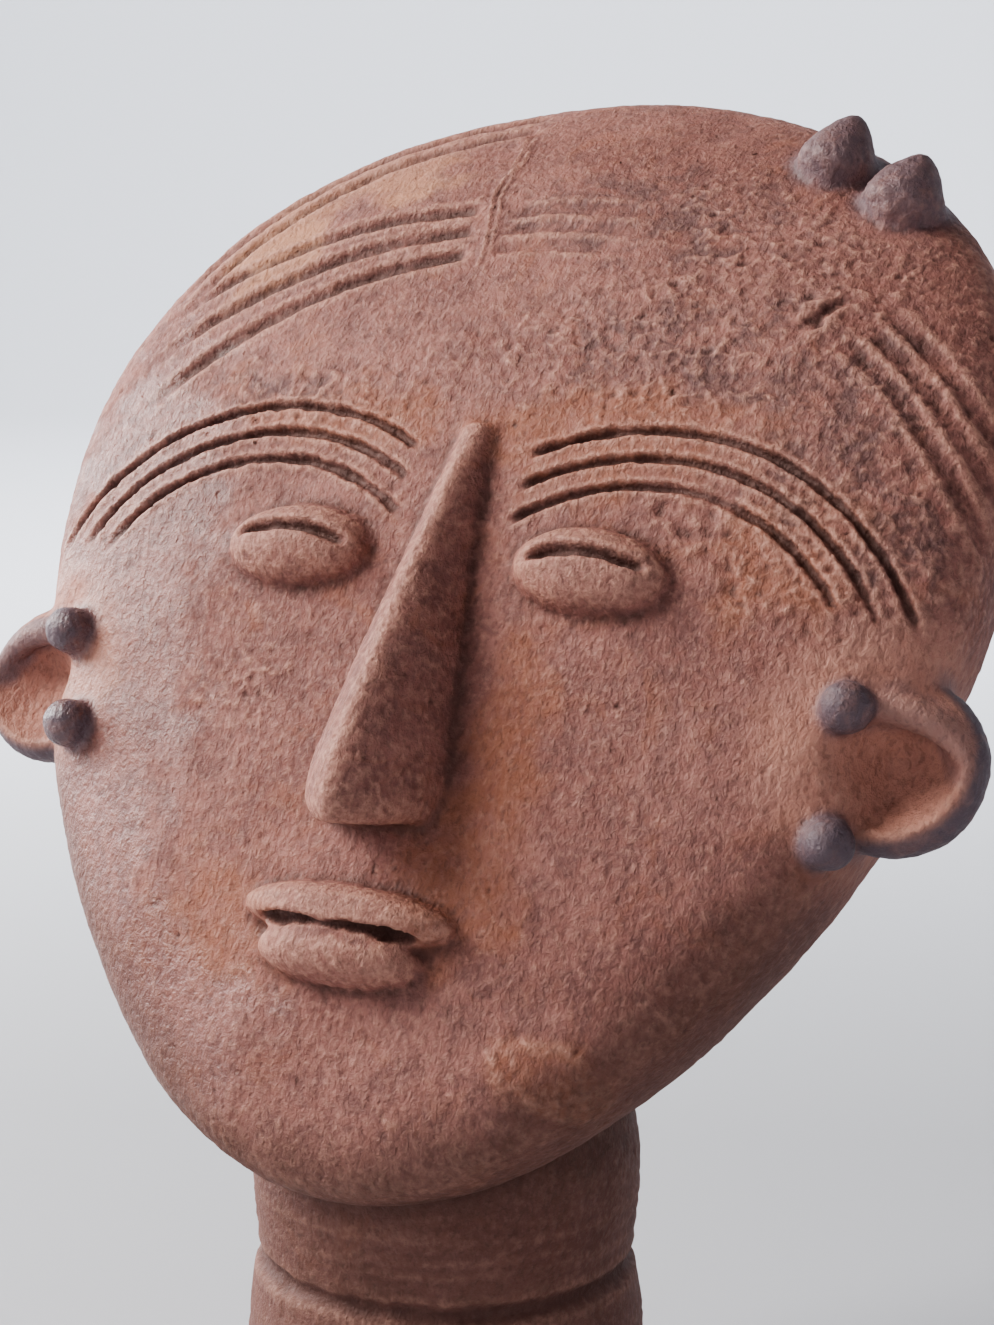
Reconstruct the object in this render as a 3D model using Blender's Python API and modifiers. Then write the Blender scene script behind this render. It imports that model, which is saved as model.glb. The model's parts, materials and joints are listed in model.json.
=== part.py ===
"""Terracotta funerary head on a ringed neck, one fired piece with a flat underside.

Metres, +Z up, the face towards -Y. The origin is the centre of the neck's flat underside.
Left and right are as seen from the front, so left is -X.
A point of the head's own frame is written (across, up, forward), from the head's centre.
"""

import math

import bmesh
import bpy
import numpy as np
from mathutils import Matrix, Vector

# Head
HEAD_HEIGHT = 0.220
HEAD_WIDTH = 0.181
FACE_DEPTH = 0.0175
BACK_DEPTH = 0.0665
HEAD_LEAN = math.radians(29.5)
HEAD_LEVEL = 0.163
HEAD_SET_BACK = 0.0108
CROWN_WIDENING = 0.20
CROWN_RECEDES = 0.0226
FACE_FLATNESS = 2.55
BACK_WIDENING = 0.25

# Neck
NECK_RADIUS = 0.0333
FURROW_LEVEL = 0.045
NECK_TOP = 0.105
NECK_TAPER = 0.045
RINGS_BELOW_FURROW = 2
RING_BULGE = 0.0022
UPPER_RING_HEIGHT = 0.034
BASE_RADIUS = 0.0445
BASE_FLARE = 2.8

# Nose: a straight blade from above the brows to its base
NOSE_TOP = 0.026
NOSE_BASE = -0.047
NOSE_TOP_WIDTH = 0.0070
NOSE_BASE_WIDTH = 0.028
NOSE_TOP_HEIGHT = 0.0022
NOSE_TIP_HEIGHT = 0.0190
NOSE_UNDERCUT = 0.0060
NOSE_TIP_ROUNDING = 0.16
NOSE_SHARPNESS = 1.45

# Eyes and mouth: pellets of clay with a slit
EYE_SPACING = 0.058
EYE_LEVEL = 0.0
EYE_WIDTH = 0.029
EYE_HEIGHT = 0.0155
EYE_RELIEF = 0.0062
EYE_SLIT_WIDTH = 0.0036
EYE_SLIT_DEPTH = 0.0028
EYE_SLIT_ARCH = 0.0022
MOUTH_LEVEL = -0.068
MOUTH_WIDTH = 0.041
LOWER_LIP_WIDTH = 0.032
LIP_HEIGHT = 0.0105
LIP_RELIEF = 0.0072
MOUTH_SLIT_WIDTH = 0.0032
MOUTH_SLIT_DEPTH = 0.0026

# Brows: incised arcs round one centre over each eye
BROW_LINES = 3
BROW_CENTRE = (0.0375, -0.026)
BROW_RADIUS = 0.043
BROW_PITCH = 0.0054
BROW_INNER_END = 0.0105
BROW_OUTER_ANGLE = math.radians(29)
BROW_WIDTH = 0.0030
BROW_DEPTH = 0.0019

# Hair: bands of parallel grooves, ended at two partings
HAIR_LINES = 3
HAIR_CENTRE = (0.005, -0.034)
HAIR_RADIUS = 0.1000
HAIR_PITCH = 0.0045
HAIR_LEFT_SHIFT = 0.0065
HAIR_WIDTH = 0.0034
HAIR_DEPTH = 0.0016
LEFT_PARTING = -0.017
MIDDLE_BAND_END = 0.034
RIGHT_PARTING = 0.058
RIGHT_BAND_END = 0.0925
PARTING_LINES = (((-0.0135, 0.060), (-0.0160, 0.078), (-0.0200, 0.098)), ((0.0530, 0.0495), (0.0590, 0.0620)))
PARTING_WIDTH = 0.0032
PARTING_DEPTH = 0.0010
RIM_LINES = (0.905, 0.950)
RIM_BAND_ANGLES = (math.radians(101), math.radians(153))
BACK_BAND_LEVELS = (0.060, 0.030)
BACK_BAND_SPAN = math.radians(58)

# Ears: a cup open to the front, with a roll over it and a pellet at each end of its rim
LEFT_EAR_LEVEL = -0.0254
RIGHT_EAR_LEVEL = -0.0222
EAR_HEIGHT = 0.0305
LEFT_EAR_REACH = 0.0153
RIGHT_EAR_REACH = 0.0140
EAR_DEPTH = 0.011
EAR_FRONT = 0.0085
EAR_FORWARD = -0.001
EAR_RIM = 0.0023
HOLLOW_FORWARD = 0.0030
HOLLOW_DEPTH = 0.0050
HOLLOW_INWARD = 0.0100
HOLLOW_UPWARD = 0.0085
HOLLOW_OPENING = 0.022
ROLL_PATH = (
    (-0.0050, 0.0076, 0.0078),
    (0.0000, 0.0079, 0.0076),
    (0.0052, 0.0068, 0.0062),
    (0.0098, 0.0045, 0.0042),
    (0.0128, 0.0012, 0.0024),
)
ROLL_RADII = (0.0024, 0.0028, 0.0026, 0.0021, 0.0015)
LEFT_PELLETS = ((0.0746, -0.0188), (0.0692, -0.0362))
RIGHT_PELLETS = ((0.0772, -0.0168), (0.0768, -0.0382))
PELLET_RADIUS = 0.0046
PELLET_STAND = 0.0024

# Knobs on the rim, above the right ear
KNOB_PLACES = ((0.0444, 0.0900), (0.0598, 0.0815))
KNOB_RADIUS = 0.0068
KNOB_HEIGHT = 0.0110
KNOB_FLARE = 1.15
KNOB_TAPER = 0.44
KNOB_LEAN = (0.22, 0.90, 0.10)

# Clay surface
CLAY_GRAIN = 0.0011
CLAY_SMOOTHING = 8
MOST_TRIANGLES = 9600
OVERLAP = 0.008
BELOW_BASE = 0.006

HALF_HEIGHT = HEAD_HEIGHT / 2
HALF_WIDTH = HEAD_WIDTH / 2
HEAD_FRAME = Matrix.Translation((0, HEAD_SET_BACK, HEAD_LEVEL)) @ Matrix.Rotation(-HEAD_LEAN, 4, "X")


def clear_scene():
    for obj in list(bpy.data.objects):
        bpy.data.objects.remove(obj, do_unlink=True)


def new_collection(name):
    collection = bpy.data.collections.new(name)
    bpy.context.scene.collection.children.link(collection)
    return collection


def mesh_object(name, bm, collection, frame):
    mesh = bpy.data.meshes.new(name)
    bm.to_mesh(mesh)
    bm.free()
    piece = bpy.data.objects.new(name, mesh)
    piece.matrix_world = frame
    collection.objects.link(piece)
    return piece


def as_guide(piece):
    piece.hide_render = True
    piece.display_type = "WIRE"


def in_head(across, up, forward):
    """(across, up, forward) as a point of the head's frame, whose forward axis is -Y."""
    return Vector((across, -forward, up))


def skull_point(side, height, front):
    """The skull's surface where side and height run from -1 to 1, on the face or on the back."""
    reach = min(math.hypot(side, height), 1.0)
    across = side * HALF_WIDTH * (1 + CROWN_WIDENING * height)
    if front:
        forward = FACE_DEPTH * (1 - reach**FACE_FLATNESS) ** (1 / FACE_FLATNESS)
    else:
        forward = -BACK_DEPTH * (1 + BACK_WIDENING * height) * math.sqrt(1 - reach**2)
    forward -= CROWN_RECEDES * max(height, 0) ** 2
    return in_head(across, height * HALF_HEIGHT, forward)


def face_point(across, up):
    """The skull's front surface at a place of the face."""
    height = up / HALF_HEIGHT
    side = across / (HALF_WIDTH * (1 + CROWN_WIDENING * height))
    reach = math.hypot(side, height)
    if reach > 1:
        side, height = side / reach, height / reach
    return skull_point(side, height, True)


def back_point(across, up):
    height = up / HALF_HEIGHT
    side = across / (HALF_WIDTH * (1 + CROWN_WIDENING * height))
    return skull_point(side, height, False)


def face_normal(across, up):
    step = HEAD_WIDTH / 200
    along = face_point(across + step, up) - face_point(across - step, up)
    upward = face_point(across, up + step) - face_point(across, up - step)
    return along.cross(upward).normalized()


def ear_centre(side):
    """The middle of an ear's cup, beside the edge of the face."""
    level, reach = (LEFT_EAR_LEVEL, LEFT_EAR_REACH) if side < 0 else (RIGHT_EAR_LEVEL, RIGHT_EAR_REACH)
    height = level / HALF_HEIGHT
    edge = HALF_WIDTH * (1 + CROWN_WIDENING * height) * math.sqrt(1 - height**2)
    return in_head(side * (edge + reach - EAR_HEIGHT / 2), level, EAR_FORWARD)


def hollow_centre(side):
    """The middle of an ear hollow's mouth, before that of the cup."""
    return ear_centre(side) + in_head(0, 0, HOLLOW_FORWARD - EAR_FORWARD)


def hollow_half_width(outward):
    """An ear hollow's half width on its outer side, or on the side of the cheek."""
    return EAR_HEIGHT / 2 - EAR_RIM if outward > 0 else HOLLOW_INWARD


def hollow_half_height(upward):
    """An ear hollow's half height under the roll, or below its middle."""
    return HOLLOW_UPWARD if upward > 0 else EAR_HEIGHT / 2 - EAR_RIM


def pressed_by_ear_hollow(point):
    """A point of the cheek, sunk towards the floor of the ear's hollow where it lies over it."""
    side = math.copysign(1, point.x)
    centre = hollow_centre(side)
    outward = side * (point.x - centre.x)
    upward = point.z - centre.z
    offset = math.hypot(outward / hollow_half_width(outward), upward / hollow_half_height(upward))
    if offset < 1:
        floor = centre.y + HOLLOW_DEPTH
        point.y = max(point.y, floor + (point.y - floor) * offset**2 * (3 - 2 * offset))
    return point


def skull(collection):
    bm = bmesh.new()
    bmesh.ops.create_icosphere(bm, subdivisions=7, radius=1.0)
    for vertex in bm.verts:
        side, back, height = vertex.co
        front = back < 0
        point = skull_point(side, height, front)
        vertex.co = pressed_by_ear_hollow(point) if front else point
    return mesh_object("skull", bm, collection, HEAD_FRAME)


def neck_radius(level):
    """The neck's profile: a tall upper ring, then rings that swell between furrows and widen to the base."""
    if level >= FURROW_LEVEL:
        share = min((level - FURROW_LEVEL) / UPPER_RING_HEIGHT, 1)
        return NECK_RADIUS - NECK_TAPER * (level - FURROW_LEVEL) + RING_BULGE * math.sin(math.pi * share)
    below = (FURROW_LEVEL - max(level, 0)) / FURROW_LEVEL
    widened = NECK_RADIUS + (BASE_RADIUS - NECK_RADIUS) * below**BASE_FLARE
    swell = abs(math.sin(math.pi * RINGS_BELOW_FURROW * below)) ** 0.6
    return widened + RING_BULGE * swell


def neck(collection):
    steps = 90
    bottom = -BELOW_BASE
    bm = bmesh.new()
    outline = [bm.verts.new((0, 0, NECK_TOP))]
    for step in range(steps + 1):
        level = NECK_TOP + (bottom - NECK_TOP) * step / steps
        outline.append(bm.verts.new((neck_radius(level), 0, level)))
    outline.append(bm.verts.new((0, 0, bottom)))
    for upper, lower in zip(outline, outline[1:]):
        bm.edges.new((upper, lower))
    piece = mesh_object("neck", bm, collection, Matrix.Identity(4))
    turn = piece.modifiers.new("turn", "SCREW")
    turn.axis = "Z"
    turn.angle = 2 * math.pi
    turn.steps = turn.render_steps = 96
    turn.use_merge_vertices = True
    turn.merge_threshold = 0.00001
    return piece


def blade_section(width, height, root, count=28):
    """A blade's cross-section: a ridge of rounded-triangle form over a root sunk in the face."""
    section = []
    for step in range(count):
        angle = 2 * math.pi * step / count
        across = width / 2 * math.copysign(abs(math.cos(angle)) ** (2 / NOSE_SHARPNESS), math.cos(angle))
        if math.sin(angle) > 0:
            out = height * math.sin(angle) ** (2 / NOSE_SHARPNESS)
        else:
            out = -root * abs(math.sin(angle))
        section.append((across, out))
    return section


def nose(collection):
    """A loft of blade sections, wider and higher towards the base, with a slanting underside."""
    steps = 28
    bm = bmesh.new()
    rings = []
    for step in range(steps + 1):
        share = step / steps
        up = NOSE_TOP + (NOSE_BASE - NOSE_TOP) * share
        width = NOSE_TOP_WIDTH + (NOSE_BASE_WIDTH - NOSE_TOP_WIDTH) * share**1.25
        height = NOSE_TOP_HEIGHT + (NOSE_TIP_HEIGHT - NOSE_TOP_HEIGHT) * share
        past = min(max(share / NOSE_TIP_ROUNDING - 1 / NOSE_TIP_ROUNDING + 1, 0), 1)
        rounding = 0.72 + 0.28 * math.sqrt(1 - past**2)
        height *= rounding
        width *= rounding
        ridge_foot = -face_point(0, up).y
        ring = []
        for across, out in blade_section(width, height, OVERLAP):
            lowered = NOSE_UNDERCUT * share**6 * max(out, 0) / height
            ring.append(bm.verts.new(in_head(across, up - lowered, ridge_foot + out)))
        rings.append(ring)
    for first, second in zip(rings, rings[1:]):
        for a, b, c, d in zip(first, first[1:] + first[:1], second[1:] + second[:1], second):
            bm.faces.new((a, b, c, d))
    bm.faces.new(rings[0][::-1])
    bm.faces.new(rings[-1])
    bmesh.ops.recalc_face_normals(bm, faces=bm.faces)
    return mesh_object("nose", bm, collection, HEAD_FRAME)


def ball(name, collection, centre, radii, direction=Vector((0, -1, 0))):
    """An ellipsoid in the head's frame, its third radius along the direction."""
    turn = Vector((0, 0, 1)).rotation_difference(direction).to_matrix().to_4x4()
    bm = bmesh.new()
    bmesh.ops.create_uvsphere(bm, u_segments=64, v_segments=32, radius=1.0)
    shape = Matrix.Translation(centre) @ turn @ Matrix.Diagonal((*radii, 1))
    bmesh.ops.transform(bm, matrix=shape, verts=bm.verts)
    return mesh_object(name, bm, collection, HEAD_FRAME)


def eye(collection, name, side):
    centre = face_point(side * EYE_SPACING / 2, EYE_LEVEL)
    outward = face_normal(side * EYE_SPACING / 2, EYE_LEVEL)
    return ball(name, collection, centre, (EYE_WIDTH / 2, EYE_HEIGHT / 2, EYE_RELIEF), outward)


def lips(collection):
    for name, width, offset in (
        ("upper_lip", MOUTH_WIDTH, LIP_HEIGHT / 3),
        ("lower_lip", LOWER_LIP_WIDTH, -LIP_HEIGHT / 3),
    ):
        up = MOUTH_LEVEL + offset
        radii = (width / 2, LIP_HEIGHT / 2, LIP_RELIEF)
        ball(name, collection, face_point(0, up), radii, face_normal(0, up))


def ear_hollow(cutters, name, side):
    """The space of an ear's hollow: round behind, open to the front, and narrower towards the cheek."""
    centre = hollow_centre(side)
    bm = bmesh.new()
    bmesh.ops.create_uvsphere(bm, u_segments=64, v_segments=32, radius=1.0)
    for vertex in bm.verts:
        across, backward, up = vertex.co
        depth = HOLLOW_DEPTH * backward**2 if backward > 0 else HOLLOW_OPENING * backward
        half_width = hollow_half_width(side * across)
        vertex.co = centre + Vector((across * half_width, depth, up * hollow_half_height(up)))
    hollow = mesh_object(name, bm, cutters, HEAD_FRAME)
    as_guide(hollow)
    return hollow


def ear_cup(collection, cutters, name, side):
    """A round cup, shallow in front and deeper behind, hollowed from the front."""
    bm = bmesh.new()
    bmesh.ops.create_uvsphere(bm, u_segments=64, v_segments=32, radius=1.0)
    for vertex in bm.verts:
        across, backward, up = vertex.co
        depth = backward * (EAR_DEPTH if backward > 0 else EAR_FRONT)
        vertex.co = ear_centre(side) + Vector((across * EAR_HEIGHT / 2, depth, up * EAR_HEIGHT / 2))
    cup = mesh_object(name, bm, collection, HEAD_FRAME)
    scoop = cup.modifiers.new("scoop", "BOOLEAN")
    scoop.operation = "DIFFERENCE"
    scoop.object = ear_hollow(cutters, name + "_hollow", side)


def ear_roll(collection, name, side, count=16):
    """The bent roll over an ear's hollow, from the upper pellet into the rim."""
    path = [ear_centre(side) + in_head(side * outward, up, forward) for outward, up, forward in ROLL_PATH]
    bm = bmesh.new()
    rings = []
    for number, (place, radius) in enumerate(zip(path, ROLL_RADII)):
        along = path[min(number + 1, len(path) - 1)] - path[max(number - 1, 0)]
        turn = along.to_track_quat("Z", "Y").to_matrix()
        ring = []
        for step in range(count):
            angle = 2 * math.pi * step / count
            ring.append(bm.verts.new(place + turn @ Vector((math.cos(angle), math.sin(angle), 0)) * radius))
        rings.append(ring)
    for first, second in zip(rings, rings[1:]):
        for a, b, c, d in zip(first, first[1:] + first[:1], second[1:] + second[:1], second):
            bm.faces.new((a, b, c, d))
    bm.faces.new(rings[0][::-1])
    bm.faces.new(rings[-1])
    bmesh.ops.recalc_face_normals(bm, faces=bm.faces)
    mesh_object(name, bm, collection, HEAD_FRAME)


def ear(collection, cutters, name, side):
    """A cup on the side of the head, a roll over it and two pellets."""
    ear_cup(collection, cutters, name, side)
    ear_roll(collection, name + "_roll", side)
    for ending, (across, up) in zip(("upper", "lower"), LEFT_PELLETS if side < 0 else RIGHT_PELLETS):
        outward = face_normal(side * across, up)
        centre = face_point(side * across, up) + outward * PELLET_STAND
        ball(f"{name}_{ending}_pellet", collection, centre, (PELLET_RADIUS,) * 3, outward)


def knobs(collection):
    """Round-tipped cones that widen towards the rim they stand on."""
    turn = Vector((0, 0, 1)).rotation_difference(in_head(*KNOB_LEAN)).to_matrix()
    for number, (across, up) in enumerate(KNOB_PLACES, start=1):
        bm = bmesh.new()
        bmesh.ops.create_uvsphere(bm, u_segments=64, v_segments=32, radius=1.0)
        for vertex in bm.verts:
            widened = KNOB_RADIUS * (KNOB_FLARE - max(KNOB_TAPER * vertex.co.z, -vertex.co.z))
            cone = Vector((vertex.co.x * widened, vertex.co.y * widened, vertex.co.z * KNOB_HEIGHT))
            vertex.co = face_point(across, up) + turn @ cone
        mesh_object(f"knob_{number}", bm, collection, HEAD_FRAME)


def arc(centre, radius, start, end, count=36):
    """Points (across, up) of an arc between two angles from the across axis."""
    points = []
    for step in range(count + 1):
        angle = start + (end - start) * step / count
        points.append((centre[0] + radius * math.cos(angle), centre[1] + radius * math.sin(angle)))
    return points


def groove(points, width, depth, fade_start=0.006, fade_end=0.006):
    """A carved line: its points in the head's frame, and how it deepens from each end."""
    return {"points": points, "width": width, "depth": depth, "fade": (fade_start, fade_end)}


def brow_grooves():
    grooves = []
    for side in (-1, 1):
        for line in range(BROW_LINES):
            radius = BROW_RADIUS + BROW_PITCH * line
            inner = math.acos((BROW_INNER_END - BROW_CENTRE[0]) / radius)
            path = arc(BROW_CENTRE, radius, inner, BROW_OUTER_ANGLE)
            points = [face_point(side * across, up) for across, up in path]
            grooves.append(groove(points, BROW_WIDTH, BROW_DEPTH))
    return grooves


def hair_arc(line, start_across, end_across, shift):
    """One hair groove between two places across the head, on a circle round the hair's centre."""
    centre = (HAIR_CENTRE[0] - shift * line, HAIR_CENTRE[1])
    radius = HAIR_RADIUS + HAIR_PITCH * line
    start = math.acos((start_across - centre[0]) / radius)
    end = math.acos((end_across - centre[0]) / radius)
    return [face_point(across, up) for across, up in arc(centre, radius, start, end)]


def hair_grooves():
    """The bands over the forehead: deep on the left, faint in the middle, soft on the right."""
    grooves = []
    for line in range(HAIR_LINES):
        left = hair_arc(line, -0.078 - 0.003 * line, LEFT_PARTING - 0.001 * line, HAIR_LEFT_SHIFT)
        grooves.append(groove(left, HAIR_WIDTH, HAIR_DEPTH, 0.020, 0.003))
        middle = hair_arc(line, LEFT_PARTING + 0.004, MIDDLE_BAND_END, 0)
        grooves.append(groove(middle, HAIR_WIDTH, HAIR_DEPTH * 0.5, 0.003, 0.030))
        right = hair_arc(line, RIGHT_PARTING + 0.003 * line, RIGHT_BAND_END, 0)
        grooves.append(groove(right, HAIR_WIDTH, HAIR_DEPTH * 0.6, 0.008, 0.008))
    return grooves


def parting_grooves():
    """The two partings, which end the bands."""
    grooves = []
    for corners in PARTING_LINES:
        points = []
        for start, end in zip(corners, corners[1:]):
            for step in range(9):
                share = step / 8
                across = start[0] + (end[0] - start[0]) * share
                points.append(face_point(across, start[1] + (end[1] - start[1]) * share))
        grooves.append(groove(points[:8] + points[9:], PARTING_WIDTH, PARTING_DEPTH))
    return grooves


def rim_grooves():
    """The band that follows the outline, left of the parting."""
    grooves = []
    for reach in RIM_LINES:
        path = arc((0, 0), reach, *RIM_BAND_ANGLES)
        points = [skull_point(side, height, True) for side, height in path]
        grooves.append(groove(points, HAIR_WIDTH, HAIR_DEPTH * 0.8, 0.004, 0.020))
    return grooves


def back_grooves():
    """Bands across the back of the head, plainer than those in front."""
    grooves = []
    for level in BACK_BAND_LEVELS:
        for line in range(HAIR_LINES):
            up = level + HAIR_PITCH * 1.1 * line
            points = []
            for step in range(37):
                angle = BACK_BAND_SPAN * (step / 18 - 1)
                across = HALF_WIDTH * 0.95 * math.sin(angle)
                points.append(back_point(across, up - 0.016 * (1 - math.cos(angle))))
            grooves.append(groove(points, HAIR_WIDTH, HAIR_DEPTH * 0.8, 0.015, 0.015))
    return grooves


def slit(centre_across, up, width, arch, forward, slit_width, depth):
    """A slit across a pellet, arched upwards."""
    points = []
    for step in range(21):
        share = step / 10 - 1
        across = centre_across + share * width / 2
        rise = up + arch * (1 - share**2)
        points.append(face_point(across, rise) + in_head(0, 0, forward * (1 - 0.6 * share**2)))
    return groove(points, slit_width, depth, 0.003, 0.003)


def face_slits():
    slits = []
    for side in (-1, 1):
        across = side * EYE_SPACING / 2
        slits.append(
            slit(across, EYE_LEVEL, EYE_WIDTH * 0.8, EYE_SLIT_ARCH, EYE_RELIEF, EYE_SLIT_WIDTH, EYE_SLIT_DEPTH)
        )
    slits.append(slit(0, MOUTH_LEVEL, MOUTH_WIDTH * 0.8, 0, LIP_RELIEF, MOUTH_SLIT_WIDTH, MOUTH_SLIT_DEPTH))
    return slits


def distance_to_path(places, path):
    """Each place's distance to a path of points, and how far along the path its nearest point is."""
    nearest = np.full(len(places), np.inf)
    along = np.zeros(len(places))
    travelled = 0.0
    for start, end in zip(path, path[1:]):
        run = end - start
        length = np.linalg.norm(run)
        share = np.clip((places - start) @ run / length**2, 0, 1)
        distance = np.linalg.norm(places - start - share[:, None] * run, axis=1)
        closer = distance < nearest
        nearest[closer] = distance[closer]
        along[closer] = travelled + share[closer] * length
        travelled += length
    return nearest, along, travelled


def carve(mesh, grooves):
    """Presses each groove into the clay, along the surface's normals."""
    count = len(mesh.vertices)
    places = np.empty(count * 3)
    mesh.vertices.foreach_get("co", places)
    places = places.reshape(-1, 3)
    normals = np.empty(count * 3)
    mesh.vertices.foreach_get("normal", normals)
    normals = normals.reshape(-1, 3)
    sunk = np.zeros(count)
    for line in grooves:
        path = np.array([HEAD_FRAME @ point for point in line["points"]])
        half = line["width"] / 2
        inside = (places > path.min(0) - 2 * half).all(1) & (places < path.max(0) + 2 * half).all(1)
        near = np.flatnonzero(inside)
        distance, along, length = distance_to_path(places[near], path)
        fade_start, fade_end = line["fade"]
        strength = np.clip(along / fade_start, 0, 1) * np.clip((length - along) / fade_end, 0, 1)
        profile = np.clip(1 - (distance / half) ** 2, 0, 1)
        depth = line["depth"] * strength * profile
        sunk[near] = np.maximum(sunk[near], depth)
    places -= normals * sunk[:, None]
    mesh.vertices.foreach_set("co", places.ravel())
    mesh.update()


def evaluated_mesh(piece):
    bpy.context.view_layer.update()
    graph = bpy.context.evaluated_depsgraph_get()
    return bpy.data.meshes.new_from_object(piece.evaluated_get(graph), depsgraph=graph)


def pressed_together(pieces, guides):
    """All the shapes as one body of clay, their joins smoothed over."""
    bm = bmesh.new()
    for piece in pieces:
        mesh = evaluated_mesh(piece)
        mesh.transform(piece.matrix_world)
        bm.from_mesh(mesh)
        bpy.data.meshes.remove(mesh)
        as_guide(piece)
    clay = mesh_object("clay", bm, guides, Matrix.Identity(4))
    as_guide(clay)
    join = clay.modifiers.new("join", "REMESH")
    join.mode = "VOXEL"
    join.voxel_size = CLAY_GRAIN
    smooth = clay.modifiers.new("smooth", "SMOOTH")
    smooth.factor = 0.5
    smooth.iterations = CLAY_SMOOTHING
    return clay


def with_fewer_faces(mesh, guides):
    """The carved mesh with faces kept where the form turns most."""
    triangles = sum(len(face.vertices) - 2 for face in mesh.polygons)
    carved = bpy.data.objects.new("carved_clay", mesh)
    guides.objects.link(carved)
    as_guide(carved)
    reduce = carved.modifiers.new("reduce", "DECIMATE")
    reduce.ratio = min(1, MOST_TRIANGLES / triangles)
    return evaluated_mesh(carved)


def cut_flat(mesh):
    """Cuts the neck flat at the level of the origin and closes it."""
    bm = bmesh.new()
    bm.from_mesh(mesh)
    everything = bm.verts[:] + bm.edges[:] + bm.faces[:]
    cut = bmesh.ops.bisect_plane(
        bm, geom=everything, plane_co=(0, 0, 0), plane_no=(0, 0, 1), clear_inner=True
    )
    rim = [item for item in cut["geom_cut"] if isinstance(item, bmesh.types.BMEdge)]
    bmesh.ops.contextual_create(bm, geom=rim)
    bmesh.ops.triangulate(bm, faces=bm.faces)
    bmesh.ops.recalc_face_normals(bm, faces=bm.faces)
    bm.to_mesh(mesh)
    bm.free()


def terracotta():
    material = bpy.data.materials.new("fired_terracotta")
    material.use_nodes = True
    shader = material.node_tree.nodes["Principled BSDF"]
    shader.inputs["Base Color"].default_value = (0.340, 0.155, 0.110, 1)
    shader.inputs["Roughness"].default_value = 0.78
    shader.inputs["Metallic"].default_value = 0
    return material


def build():
    clear_scene()
    work = new_collection("terracotta_funerary_head")
    shapes = new_collection("clay_shapes")
    cutters = new_collection("cutters")
    skull(shapes)
    neck(shapes)
    nose(shapes)
    lips(shapes)
    for name, side in (("left", -1), ("right", 1)):
        eye(shapes, name + "_eye", side)
        ear(shapes, cutters, name + "_ear", side)
    knobs(shapes)
    clay = pressed_together(list(shapes.objects), shapes)
    mesh = evaluated_mesh(clay)
    carve(mesh, brow_grooves() + hair_grooves() + parting_grooves() + rim_grooves() + back_grooves() + face_slits())
    mesh = with_fewer_faces(mesh, shapes)
    cut_flat(mesh)
    mesh.name = "terracotta_head"
    mesh.shade_smooth()
    head = bpy.data.objects.new("terracotta_head", mesh)
    head.data.materials.append(terracotta())
    work.objects.link(head)


build()
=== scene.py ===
"""Terracotta funerary head: the fine relief and colours of the fired clay, a plain studio and the camera.

Metres, +Z up, the face towards -Y. Left and right are as seen from the front, so left is -X.
A point of the head's own frame is written (across, up, forward), from the head's centre.
"""

import json
import math
from itertools import product

import bmesh
import bpy
import numpy as np
from mathutils import Matrix, Vector
from mathutils.kdtree import KDTree

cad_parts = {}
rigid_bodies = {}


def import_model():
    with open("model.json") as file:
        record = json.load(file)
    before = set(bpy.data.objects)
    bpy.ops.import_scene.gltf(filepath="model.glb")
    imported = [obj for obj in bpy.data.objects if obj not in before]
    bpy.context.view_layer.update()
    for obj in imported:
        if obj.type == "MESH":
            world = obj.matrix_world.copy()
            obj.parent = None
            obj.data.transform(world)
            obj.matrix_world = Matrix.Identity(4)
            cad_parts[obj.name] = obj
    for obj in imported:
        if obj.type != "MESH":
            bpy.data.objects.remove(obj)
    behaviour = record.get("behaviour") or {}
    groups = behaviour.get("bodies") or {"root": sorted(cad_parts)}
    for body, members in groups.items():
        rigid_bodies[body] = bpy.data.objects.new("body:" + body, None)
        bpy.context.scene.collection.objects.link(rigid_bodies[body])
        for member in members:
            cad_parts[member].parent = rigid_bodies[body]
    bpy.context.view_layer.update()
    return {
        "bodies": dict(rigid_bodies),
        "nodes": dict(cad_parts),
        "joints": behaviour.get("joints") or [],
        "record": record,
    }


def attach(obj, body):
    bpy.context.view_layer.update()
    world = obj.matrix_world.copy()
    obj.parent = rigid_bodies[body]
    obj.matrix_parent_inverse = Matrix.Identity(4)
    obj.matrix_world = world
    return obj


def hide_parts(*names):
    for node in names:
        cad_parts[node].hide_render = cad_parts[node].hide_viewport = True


# Head
HEAD_HEIGHT = 0.220
HEAD_WIDTH = 0.181
FACE_DEPTH = 0.0175
BACK_DEPTH = 0.0665
HEAD_LEAN = math.radians(29.5)
HEAD_LEVEL = 0.163
HEAD_SET_BACK = 0.0108
CROWN_WIDENING = 0.20
CROWN_RECEDES = 0.0226
FACE_FLATNESS = 2.55
BACK_WIDENING = 0.25

# Neck
NECK_RADIUS = 0.0333
FURROW_LEVEL = 0.045
NECK_TOP = 0.105
NECK_TAPER = 0.045
RINGS_BELOW_FURROW = 2
RING_BULGE = 0.0022
UPPER_RING_HEIGHT = 0.034
BASE_RADIUS = 0.0445
BASE_FLARE = 2.8

# Nose: a straight blade from above the brows to its base
NOSE_TOP = 0.026
NOSE_BASE = -0.047
NOSE_TOP_WIDTH = 0.0070
NOSE_BASE_WIDTH = 0.028
NOSE_TOP_HEIGHT = 0.0022
NOSE_TIP_HEIGHT = 0.0190
NOSE_UNDERCUT = 0.0060
NOSE_TIP_ROUNDING = 0.16
NOSE_SHARPNESS = 1.45

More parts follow.
